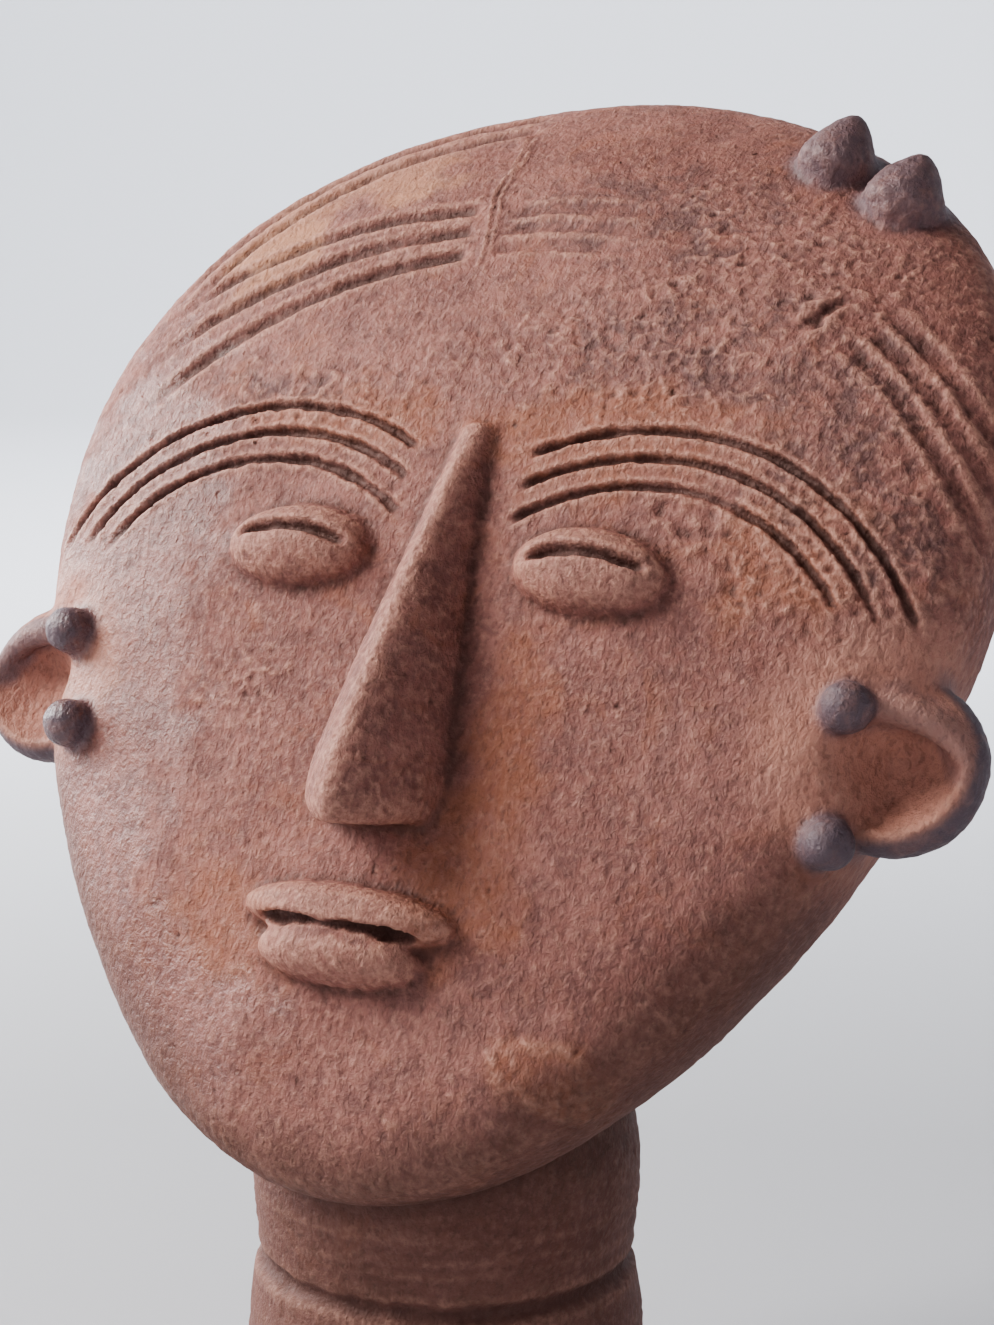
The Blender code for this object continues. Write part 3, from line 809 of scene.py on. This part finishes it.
def neck_groove():
    """The crease round the neck between its upper ring and the one below."""
    inverse = HEAD_FRAME.inverted()
    points = []
    for step in range(73):
        angle = 2 * math.pi * step / 72 + math.pi / 2
        around = Vector((NECK_RADIUS * math.cos(angle), NECK_RADIUS * math.sin(angle), FURROW_LEVEL))
        points.append(inverse @ around)
    return groove(points, FURROW_WIDTH, FURROW_DEPTH, (0.001, 0.001), FURROW_BURR, 0.0005)


def crack_grooves():
    grooves = []
    for corners in CRACKS:
        points = [face_point(across, up) for across, up in between(corners)]
        grooves.append(groove(points, CRACK_WIDTH, CRACK_DEPTH, (0.004, 0.004), 0, 0.0008))
    return grooves


def distance_to_path(places, path):
    """Each place's distance to a path of points, and how far along the path its nearest point is."""
    nearest = np.full(len(places), np.inf)
    along = np.zeros(len(places))
    travelled = 0.0
    for start, end in zip(path, path[1:]):
        run = end - start
        length = np.linalg.norm(run)
        share = np.clip((places - start) @ run / length**2, 0, 1)
        distance = np.linalg.norm(places - start - share[:, None] * run, axis=1)
        closer = distance < nearest
        nearest[closer] = distance[closer]
        along[closer] = travelled + share[closer] * length
        travelled += length
    return nearest, along, travelled


def carved(local, grooves):
    """How deep the grooves sink at each place, and how high their burrs stand."""
    sunk = np.zeros(len(local))
    raised = np.zeros(len(local))
    for number, line in enumerate(grooves):
        path = np.array([tuple(point) for point in line["points"]])
        half = line["width"] / 2
        inside = (local > path.min(0) - 4 * half).all(1) & (local < path.max(0) + 4 * half).all(1)
        near = np.flatnonzero(inside)
        distance, along, length = distance_to_path(local[near], path)
        close = distance < 4 * half
        near, distance, along = near[close], distance[close], along[close]
        seed = 300 + number
        wander = noise(local[near], 0.0060, seed) + 0.7 * noise(local[near], 0.0022, seed)
        distance += line["ragged"] * wander
        fade_start, fade_end = line["fade"]
        strength = smoothstep(0, fade_start, along) * smoothstep(0, fade_end, length - along)
        strength *= 0.88 + 0.30 * noise(local[near], 0.007, seed)
        profile = np.clip(1 - np.abs(distance / half) ** line["steep"], 0, 1)
        sunk[near] = np.maximum(sunk[near], line["depth"] * strength * profile)
        ridge = np.exp(-(((distance - 1.40 * half) / (0.55 * half)) ** 2))
        raised[near] = np.maximum(raised[near], line["burr"] * strength * ridge)
    return sunk, raised


def pits(places, heights):
    """Small round pits where grit and chaff fell or burned out."""
    draw = np.random.default_rng(71)
    tree = KDTree(len(places))
    for index, place in enumerate(places):
        tree.insert(place, index)
    tree.balance()
    for centre in draw.integers(0, len(places), PIT_COUNT):
        radius = draw.uniform(*PIT_RADII)
        depth = draw.uniform(*PIT_DEPTHS)
        for _, index, distance in tree.find_range(places[centre], radius):
            heights[index] -= depth * (1 - (distance / radius) ** 2)
    return heights


def near_axis(places, radius):
    """Which places lie within a radius of the neck's axis."""
    return np.hypot(places[:, 0], places[:, 1]) < radius


def relief(places, local):
    """How far the fired surface stands off the smooth form, and how deep the grooves alone sink."""
    crusted = patches(local, CRUSTED, 100)
    polished = patches(local, (*BURNISHED, *TAN_SCUFFS), 200)
    crumbled = patches(local, CRUMBLED, 260)
    on_neck = smoothstep(0.070, 0.060, places[:, 2]) * near_axis(places, 2 * BASE_RADIUS)
    behind = smoothstep(0.0, 0.02, local[:, 1])
    heights = SHAPING_HEIGHT * noise(places, SHAPING_SIZE, 1)
    heights += LUMP_HEIGHT * noise(places, LUMP_SIZE, 2)
    flakes = noise(places, CRUST_SIZE, 3) + 0.6 * noise(places, CRUST_SIZE * 0.45, 4)
    heights += CRUST_HEIGHT * smoothstep(-0.08, 0.22, flakes) * (0.20 + 0.80 * crusted)
    waves = noise(local / (FOLD_LENGTH, FOLD_LENGTH, FOLD_HEIGHT), 1.0, 14)
    waves += 0.40 * noise(places, LUMP_SIZE / 3, 15)
    heights += FOLD_RISE * smoothstep(0.16, 0.0, np.abs(waves)) * (0.08 + 0.92 * crusted)
    along = local.copy()
    along[:, 0] += 2 * STROKE_CURL * noise(places, 0.020, 5) + STROKE_CURL * noise(places, 0.0042, 12)
    along[:, 2] += STROKE_CURL * noise(places, 0.0042, 13)
    along *= (1 / STROKE_WIDTH, 1 / STROKE_WIDTH, 1 / STROKE_LENGTH)
    strokes = 1 - 1.6 * np.abs(noise(along, 1.0, 6) + 0.8 * noise(along[:, [2, 0, 1]], 0.77, 16))
    rough = (1 - 0.15 * polished) * (1 - 0.7 * on_neck)
    strength = 0.55 + 0.45 * smoothstep(-0.5, 0.5, noise(places, 0.02, 7)) + 0.45 * crusted
    heights += STROKE_HEIGHT * strokes * rough * strength
    heights += GRAIN_HEIGHT * noise(places, GRAIN_SIZE, 8) * (1 + 1.0 * crusted) * rough
    heights += CRUMBLE_HEIGHT * crumbled * (noise(places, CRUMBLE_SIZE, 9) - 0.35)
    angle = np.arctan2(places[:, 1], places[:, 0]) * NECK_RADIUS
    turned = np.column_stack((angle / BRUSH_LENGTH, places[:, 2] / BRUSH_SIZE, places[:, 2] * 0))
    heights += BRUSH_HEIGHT * noise(turned, 1.0, 10) * on_neck
    heights += JAW_SMEAR_HEIGHT * patch(local, JAW_SMEAR, 270, 0.25)
    sunk, raised = carved(
        local,
        brow_grooves() + hair_grooves() + parting_grooves() + rim_grooves() + back_grooves()
        + face_slits() + crack_grooves() + [neck_groove()],
    )
    sunk *= 1 - 0.55 * crumbled
    heights += CRUMB_HEIGHT * noise(places, CRUMB_SIZE, 11) * smoothstep(0.0002, 0.0009, sunk)
    raised *= 1 - 0.5 * behind
    heights += raised * (1 - smoothstep(0, 0.0004, sunk)) - sunk
    return pits(places, heights), sunk


def averaged(values, edges, rounds):
    """Values at the vertices, each mixed with its neighbours' again and again."""
    count = len(values)
    first, second = edges[:, 0], edges[:, 1]
    ties = np.bincount(first, minlength=count) + np.bincount(second, minlength=count)
    for _ in range(rounds):
        columns = []
        for column in values.T:
            total = np.bincount(first, column[second], count) + np.bincount(second, column[first], count)
            columns.append(total / ties)
        values = 0.5 * values + 0.5 * np.column_stack(columns)
    return values


def softened(places, local, edges):
    """The surface with the joins of the ears, pellets and knobs smeared smooth."""
    centres = []
    for side in (-1, 1):
        centres += [place for place, _ in pellet_places(side)]
        centres += roll_path(side)[:3]
    near_ears = near_any(local, [tuple(centre) for centre in centres], SMEAR_REACH)
    knobs = [tuple(face_point(across, up)) for across, up in KNOB_PLACES]
    share = np.maximum(near_ears, near_any(local, knobs, 1.6 * SMEAR_REACH))
    return places + SMEARED * share[:, None] * (averaged(places, edges, SMEAR_ROUNDS) - places)


def near_any(local, centres, radius):
    """1 within a radius of any of the points, falling off to 0 at one and a half times it."""
    total = np.zeros(len(local))
    for centre in centres:
        distance = np.linalg.norm(local - np.array(centre), axis=1)
        total = np.maximum(total, smoothstep(1.5, 0.9, distance / radius))
    return total


def smoke_stains(local):
    """Where the firing's smoke left the clay grey: knobs, pellets and the ears' rims."""
    stained = np.zeros(len(local))
    for side in (-1, 1):
        centre = np.array(ear_centre(side))
        across = side * (local[:, 0] - centre[0])
        ring = np.hypot(across, local[:, 2] - centre[2]) / (EAR_HEIGHT / 2)
        angle = np.arctan2(local[:, 2] - centre[2], across)
        rim = smoothstep(0.86, 0.96, ring) * smoothstep(1.2, 1.1, ring) * smoothstep(-2.5, -1.9, angle)
        rim *= smoothstep(1.9, 1.0, angle) * smoothstep(0.012, 0.006, np.abs(local[:, 1] - centre[1]))
        height = np.clip(local[:, 2] / HALF_HEIGHT, -0.99, 0.99)
        edge = HALF_WIDTH * (1 + CROWN_WIDENING * height) * np.sqrt(1 - height**2)
        rim *= smoothstep(-0.002, 0.002, side * local[:, 0] - edge)
        stained = np.maximum(stained, rim)
        pellets = [tuple(place) for place, _ in pellet_places(side)]
        stained = np.maximum(stained, near_any(local, pellets, PELLET_RADIUS))
        roll = [tuple(place) for place in roll_path(side)]
        stained = np.maximum(stained, ROLL_SMOKE[side] * near_any(local, roll, 1.3 * ROLL_RADII[1]))
    tips = []
    for across, up in KNOB_PLACES:
        tips.append(tuple(face_point(across, up) + in_head(*KNOB_LEAN).normalized() * KNOB_HEIGHT * 0.35))
    return np.maximum(stained, 0.8 * near_any(local, tips, 1.25 * KNOB_RADIUS))


def painted_lower_shade(places, local):
    """Painted shade: darker round the top of the neck under the chin, and along the lower edge of the jaw."""
    height = local[:, 2] / HALF_HEIGHT
    reach = np.hypot(local[:, 0] / (HALF_WIDTH * (1 + CROWN_WIDENING * height)), height)
    edge = smoothstep(0.86, 0.99, reach + 0.03 * noise(places, 0.010, 21))
    edge *= smoothstep(-0.020, -0.060, local[:, 2])
    neck_top = smoothstep(0.035, 0.075, places[:, 2]) * near_axis(places, 1.3 * NECK_RADIUS)
    neck_top *= smoothstep(0.135, 0.115, places[:, 2]) * (local[:, 1] > -FACE_DEPTH / 2)
    return np.maximum(0.75 * edge, neck_top)


def vertex_array(mesh, name, width=3):
    values = np.empty(len(mesh.vertices) * width)
    mesh.vertices.foreach_get(name, values)
    return values.reshape(-1, width)


def store(mesh, name, values):
    layer = mesh.attributes.new(name, "FLOAT", "POINT")
    layer.data.foreach_set("value", np.clip(values, 0, 1).astype(np.float32))


def finish_surface(mesh):
    """Raises and sinks the fine relief, and stores where each colour of the clay goes, painted shade and
    painted light among them.
    """
    places = vertex_array(mesh, "co")
    normals = vertex_array(mesh, "normal")
    inverse = np.array(HEAD_FRAME.inverted())
    local = places @ inverse[:3, :3].T + inverse[:3, 3]
    edges = np.empty(len(mesh.edges) * 2, dtype=np.int32)
    mesh.edges.foreach_get("vertices", edges)
    edges = edges.reshape(-1, 2)
    places = softened(places, local, edges)
    local = places @ inverse[:3, :3].T + inverse[:3, 3]
    heights, sunk = relief(places, local)
    moved = places + normals * heights[:, None]
    broad = ((averaged(moved, edges, 40) - moved) * normals).sum(1)
    fine = ((averaged(moved, edges, 5) - moved) * normals).sum(1)
    mesh.vertices.foreach_set("co", moved.ravel())
    mesh.update()
    # Painted light: the floor of each ear hollow is made lighter, as if lit, and kept free of painted shade
    painted_floor_light = near_any(local, [tuple(hollow_centre(side)) for side in (-1, 1)], 0.6 * EAR_HEIGHT)
    # Painted shade: darker where the surface lies below its smoothed neighbours, in creases and hollows
    painted_crevice_shade = smoothstep(0.00004, 0.00050, broad) * (1 - painted_floor_light)
    painted_crevice_shade += smoothstep(0.00003, 0.00016, fine) * 0.5
    store(mesh, "painted_crevice_shade", painted_crevice_shade)
    store(mesh, "painted_ear_floor_light", painted_floor_light)
    crest = smoothstep(0.00002, 0.00025, -broad) * 0.7 + smoothstep(0.00001, 0.00008, -fine) * 0.35
    store(mesh, "crest", crest)
    # Painted shade inside the grooves, darker the deeper they sink
    store(mesh, "painted_groove_shade", smoothstep(0.15, 0.95, sunk / BROW_DEPTH))
    store(mesh, "orange", patches(local, ORANGE_CLAY, 400) + patch(local, JAW_SMEAR, 270, 0.25))
    store(mesh, "mottle", patches(local, DARK_MOTTLES, 500))
    store(mesh, "scuff", patches(local, TAN_SCUFFS, 600))
    store(mesh, "sheen", patches(local, BURNISHED, 200))
    store(mesh, "smoke", smoke_stains(local))
    # Painted shade round the top of the neck under the chin, and along the jaw's lower edge
    store(mesh, "painted_lower_shade", painted_lower_shade(places, local))
    return local


def with_fewer_faces(mesh, local):
    """The finished surface within its number of triangles, finer in front than behind."""
    piece = bpy.data.objects.new("finished_clay", mesh)
    bpy.context.scene.collection.objects.link(piece)
    behind = local[:, 1] > FRONT_ENDS
    triangles = 2 * len(mesh.polygons)
    behind_triangles = triangles * behind.mean()
    kept = triangles
    for name, chosen, most in (
        ("behind", behind, BACK_TRIANGLES),
        ("front", ~behind, FRONT_TRIANGLES),
    ):
        group = piece.vertex_groups.new(name=name)
        group.add(np.flatnonzero(chosen).tolist(), 1.0, "REPLACE")
        before = kept
        kept -= behind_triangles - most if name == "behind" else triangles - behind_triangles - most
        reduce = piece.modifiers.new(name, "DECIMATE")
        reduce.ratio = kept / before
        reduce.vertex_group = name
    reduced = evaluated_mesh(piece)
    remove(piece)
    return reduced


def cut_flat(mesh):
    """Cuts the neck flat at the level of the origin and closes it."""
    bm = bmesh.new()
    bm.from_mesh(mesh)
    everything = bm.verts[:] + bm.edges[:] + bm.faces[:]
    cut = bmesh.ops.bisect_plane(
        bm, geom=everything, plane_co=(0, 0, 0), plane_no=(0, 0, 1), clear_inner=True
    )
    rim = [item for item in cut["geom_cut"] if isinstance(item, bmesh.types.BMEdge)]
    bmesh.ops.contextual_create(bm, geom=rim)
    bmesh.ops.triangulate(bm, faces=bm.faces)
    bmesh.ops.recalc_face_normals(bm, faces=bm.faces)
    bm.to_mesh(mesh)
    bm.free()


def clay_head():
    """The whole head as one surface."""
    shapes = [skull(), neck(), nose(), eye(-1), eye(1)]
    shapes += [lip(MOUTH_WIDTH, LIP_HEIGHT / 3), lip(LOWER_LIP_WIDTH, -LIP_HEIGHT / 3)]
    shapes += ear(-1) + ear(1)
    shapes += [knob(across, up) for across, up in KNOB_PLACES]
    mesh = pressed_together(shapes)
    for leftover in list(bpy.context.scene.collection.objects):
        if leftover in shapes or leftover.name.startswith("ear_hollow"):
            remove(leftover)
    local = finish_surface(mesh)
    mesh = with_fewer_faces(mesh, local)
    cut_flat(mesh)
    mesh.shade_smooth()
    head = bpy.data.objects.new("terracotta_head_clay", mesh)
    bpy.context.scene.collection.objects.link(head)
    return head


class Nodes:
    """Short ways to add and link the nodes of one material."""

    def __init__(self, material):
        self.tree = material.node_tree

    def add(self, kind, values=(), **settings):
        node = self.tree.nodes.new(kind)
        for name, value in settings.items():
            setattr(node, name, value)
        for socket, value in dict(values).items():
            self.set(node.inputs[socket], value)
        return node

    def set(self, socket, value):
        if isinstance(value, bpy.types.NodeSocket):
            self.tree.links.new(value, socket)
        else:
            socket.default_value = value

    def math(self, operation, first, second=0.0, clamp=False):
        node = self.add("ShaderNodeMath", {0: first, 1: second}, operation=operation, use_clamp=clamp)
        return node.outputs[0]

    def ramp(self, value, low, high, start=0.0, end=1.0):
        """The value's climb from low to high, as a smooth step from start to end."""
        values = {"Value": value, "From Min": low, "From Max": high, "To Min": start, "To Max": end}
        return self.add("ShaderNodeMapRange", values, interpolation_type="SMOOTHSTEP").outputs["Result"]

    def mix(self, share, first, second, blend="MIX"):
        node = self.add("ShaderNodeMix", {"Factor": share}, data_type="RGBA", blend_type=blend)
        self.set(node.inputs[6], first)
        self.set(node.inputs[7], second)
        return node.outputs[2]

    def where(self, name, value, low, high, start, end):
        """Where a colour goes, made uneven: its stored share times a ramp over noise."""
        return self.math("MULTIPLY", self.attribute(name), self.ramp(value, low, high, start, end))

    def attribute(self, name):
        return self.add("ShaderNodeAttribute", attribute_name=name).outputs["Fac"]

    def noise(self, place, scale, detail=3.0, rough=0.55, distortion=0.0):
        values = {"Vector": place, "Scale": scale, "Detail": detail}
        values.update({"Roughness": rough, "Distortion": distortion})
        return self.add("ShaderNodeTexNoise", values).outputs["Fac"]


def fired_clay():
    """Brownish pink clay with orange, dark, smoked, scuffed and burnished places; painted shade in its
    grooves, creases and hollows and under the jaw, and painted light on the floor of each ear hollow.
    """
    material = bpy.data.materials.new("fired_terracotta_clay")
    material.use_nodes = True
    nodes = Nodes(material)
    shader = material.node_tree.nodes["Principled BSDF"]
    place = nodes.add("ShaderNodeTexCoord").outputs["Object"]
    leaning = nodes.add("ShaderNodeMapping", {"Vector": place, "Rotation": (HEAD_LEAN, 0, 0)}).outputs[0]
    fibres = nodes.add("ShaderNodeMapping", {"Vector": leaning, "Scale": (1, 1, 0.60)}).outputs[0]
    broad = nodes.noise(place, 38, 4, 0.6, 0.6)
    blotches = nodes.noise(place, 150, 5, 0.70, 0.8)
    speckle = nodes.noise(place, 700, 4, 0.65)
    fibre = nodes.noise(fibres, 850, 4, 0.62, 0.4)
    grit = nodes.noise(place, 2200, 2, 0.5)

    clay = nodes.mix(nodes.ramp(broad, 0.35, 0.65), PINK, DEEP_PINK)
    clay = nodes.mix(nodes.ramp(blotches, 0.40, 0.66, 0, 0.60), clay, BLOTCH)
    clay = nodes.mix(nodes.ramp(speckle, 0.48, 0.70, 0, 0.38), clay, SPECKLE)
    clay = nodes.mix(nodes.where("orange", blotches, 0.30, 0.60, 0.15, 0.60), clay, ORANGE)
    drift = nodes.ramp(nodes.noise(place, 70, 4, 0.65, 1.2), 0.54, 0.70, 0, 0.35)
    clay = nodes.mix(drift, clay, DRIFT)
    clay = nodes.mix(nodes.where("mottle", blotches, 0.36, 0.64, 0, 0.70), clay, MOTTLE)
    clay = nodes.mix(nodes.math("MULTIPLY", nodes.attribute("scuff"), 0.75), clay, SCUFF)
    # Painted light: a lighter colour on the floor of each ear hollow
    clay = nodes.mix(nodes.where("painted_ear_floor_light", blotches, 0.30, 0.60, 0.45, 0.85), clay, PAINTED_EAR_FLOOR_LIGHT)
    clay = nodes.mix(nodes.where("crest", speckle, 0.35, 0.62, 0.25, 0.75), clay, CREST)
    clay = nodes.mix(nodes.ramp(fibre, 0.50, 0.34, 0, 0.34), clay, FIBRE)
    # Painted shade under the chin and along the jaw's lower edge
    clay = nodes.mix(nodes.where("painted_lower_shade", blotches, 0.28, 0.66, 0.92, 0.60), clay, PAINTED_LOWER_SHADE)
    # Painted shade in creases and hollows
    clay = nodes.mix(nodes.math("MULTIPLY", nodes.attribute("painted_crevice_shade"), 0.75), clay, PAINTED_CREVICE_SHADE)
    # Painted shade inside the grooves
    clay = nodes.mix(nodes.where("painted_groove_shade", speckle, 0.30, 0.62, 0.80, 0.35), clay, PAINTED_GROOVE_SHADE)
    clay = nodes.mix(nodes.where("smoke", blotches, 0.25, 0.55, 0.60, 0.95), clay, SMOKE)
    nodes.set(shader.inputs["Base Color"], clay)

    gloss = nodes.ramp(speckle, 0.30, 0.70, 0.80, 0.64)
    polish = nodes.math("MULTIPLY", nodes.attribute("sheen"), 0.30)
    smoked = nodes.math("MULTIPLY", nodes.attribute("smoke"), 0.14)
    roughness = nodes.math("SUBTRACT", nodes.math("SUBTRACT", gloss, polish), smoked)
    nodes.set(shader.inputs["Roughness"], roughness)

    height = nodes.math("MULTIPLY", fibre, 0.60)
    height = nodes.math("ADD", height, nodes.math("MULTIPLY", speckle, 0.45))
    height = nodes.math("ADD", height, nodes.math("MULTIPLY", grit, 0.12))
    pocks = nodes.add("ShaderNodeTexVoronoi", {"Vector": place, "Scale": 420.0}).outputs["Distance"]
    height = nodes.math("ADD", height, nodes.ramp(pocks, 0.08, 0.22, -0.12, 0.0))
    bump = nodes.add("ShaderNodeBump", {"Strength": 1.0, "Distance": 0.0008, "Height": height})
    nodes.set(shader.inputs["Normal"], bump.outputs[0])
    return material


def studio_floor():
    """A pale round floor that curves up at its edge, so that every view has a plain background."""
    outline = [(0.0, 0.0)]
    outline.append((FLOOR_RADIUS, 0.0))
    for step in range(1, 25):
        angle = math.radians(90) * step / 24
        outward = FLOOR_RADIUS + SWEEP_RADIUS * math.sin(angle)
        outline.append((outward, SWEEP_RADIUS * (1 - math.cos(angle))))
    outline.append((FLOOR_RADIUS + SWEEP_RADIUS, WALL_HEIGHT))
    bm = bmesh.new()
    corners = [bm.verts.new((across, 0, level)) for across, level in outline]
    edges = [bm.edges.new(pair) for pair in zip(corners, corners[1:])]
    middle = (0, 0, 0)
    turn = {"axis": (0, 0, 1), "angle": 2 * math.pi, "steps": 128, "use_merge": True}
    bmesh.ops.spin(bm, geom=corners + edges, cent=middle, **turn)
    bmesh.ops.remove_doubles(bm, verts=bm.verts, dist=0.0001)
    bmesh.ops.recalc_face_normals(bm, faces=bm.faces)
    floor = mesh_object("studio_floor", bm, Matrix.Identity(4))
    floor.data.shade_smooth()
    material = bpy.data.materials.new("pale_paper")
    material.use_nodes = True
    shader = material.node_tree.nodes["Principled BSDF"]
    shader.inputs["Base Color"].default_value = FLOOR_COLOUR
    shader.inputs["Roughness"].default_value = 0.9
    floor.data.materials.append(material)


def area_light(name, place, target, size, power, colour):
    light = bpy.data.lights.new(name, "AREA")
    light.shape = "DISK"
    light.size = size
    light.energy = power
    light.color = colour
    lamp = bpy.data.objects.new(name, light)
    lamp.location = place
    lamp.rotation_euler = (target - lamp.location).to_track_quat("-Z", "Y").to_euler()
    bpy.context.scene.collection.objects.link(lamp)


def lighting():
    middle = Vector((0, 0, HEAD_LEVEL))
    area_light("window", (-1.05, -0.38, 0.95), middle, 0.80, 33, WARM_LIGHT)
    area_light("left_sheen", (-1.10, 0.25, 0.40), middle, 0.60, 7.5, SHEEN_LIGHT)
    area_light("front_fill", (0.50, -1.20, 0.90), middle, 1.0, 1.9, FILL_LIGHT)
    for number, (azimuth, power) in enumerate(BACKDROP_WASHES, start=1):
        outward = Vector((-math.sin(azimuth), math.cos(azimuth), 0))
        place = outward * 0.95 + Vector((0, 0, 1.30))
        target = outward * 2.6 + Vector((0, 0, 0.35))
        area_light(f"backdrop_wash_{number}", place, target, 0.80, power, WASH_LIGHT)
    world = bpy.data.worlds.new("soft_daylight")
    world.use_nodes = True
    sky = world.node_tree.nodes["Background"]
    sky.inputs["Color"].default_value = SKY_COLOUR
    sky.inputs["Strength"].default_value = SKY_STRENGTH
    bpy.context.scene.world = world
    bpy.context.scene.view_settings.look = "AgX - Medium High Contrast"


def camera():
    """A camera at the photograph's angle, from the right and a little above."""
    back = Vector(
        (
            math.sin(CAMERA_AZIMUTH) * math.cos(CAMERA_ELEVATION),
            -math.cos(CAMERA_AZIMUTH) * math.cos(CAMERA_ELEVATION),
            math.sin(CAMERA_ELEVATION),
        )
    )
    level = Vector((math.cos(CAMERA_AZIMUTH), math.sin(CAMERA_AZIMUTH), 0))
    upright = back.cross(level)
    right = level * math.cos(CAMERA_ROLL) + upright * math.sin(CAMERA_ROLL)
    up = upright * math.cos(CAMERA_ROLL) - level * math.sin(CAMERA_ROLL)
    data = bpy.data.cameras.new("photo_view")
    data.sensor_fit = "VERTICAL"
    data.sensor_height = SENSOR_HEIGHT
    data.lens = FOCAL_PIXELS / IMAGE_HEIGHT * SENSOR_HEIGHT
    data.clip_start = 0.05
    data.clip_end = 20
    eye_point = Vector((0, HEAD_SET_BACK, HEAD_LEVEL)) + back * CAMERA_DISTANCE
    eye_point += right * CAMERA_OFFSET[0] + up * CAMERA_OFFSET[1]
    viewer = bpy.data.objects.new("photo_view", data)
    viewer.matrix_world = Matrix.Translation(eye_point) @ Matrix((right, up, back)).transposed().to_4x4()
    bpy.context.scene.collection.objects.link(viewer)
    bpy.context.scene.camera = viewer


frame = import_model()
camera()
lighting()
studio_floor()
head = clay_head()
head.data.materials.append(fired_clay())
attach(head, "root")
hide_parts("terracotta_head")
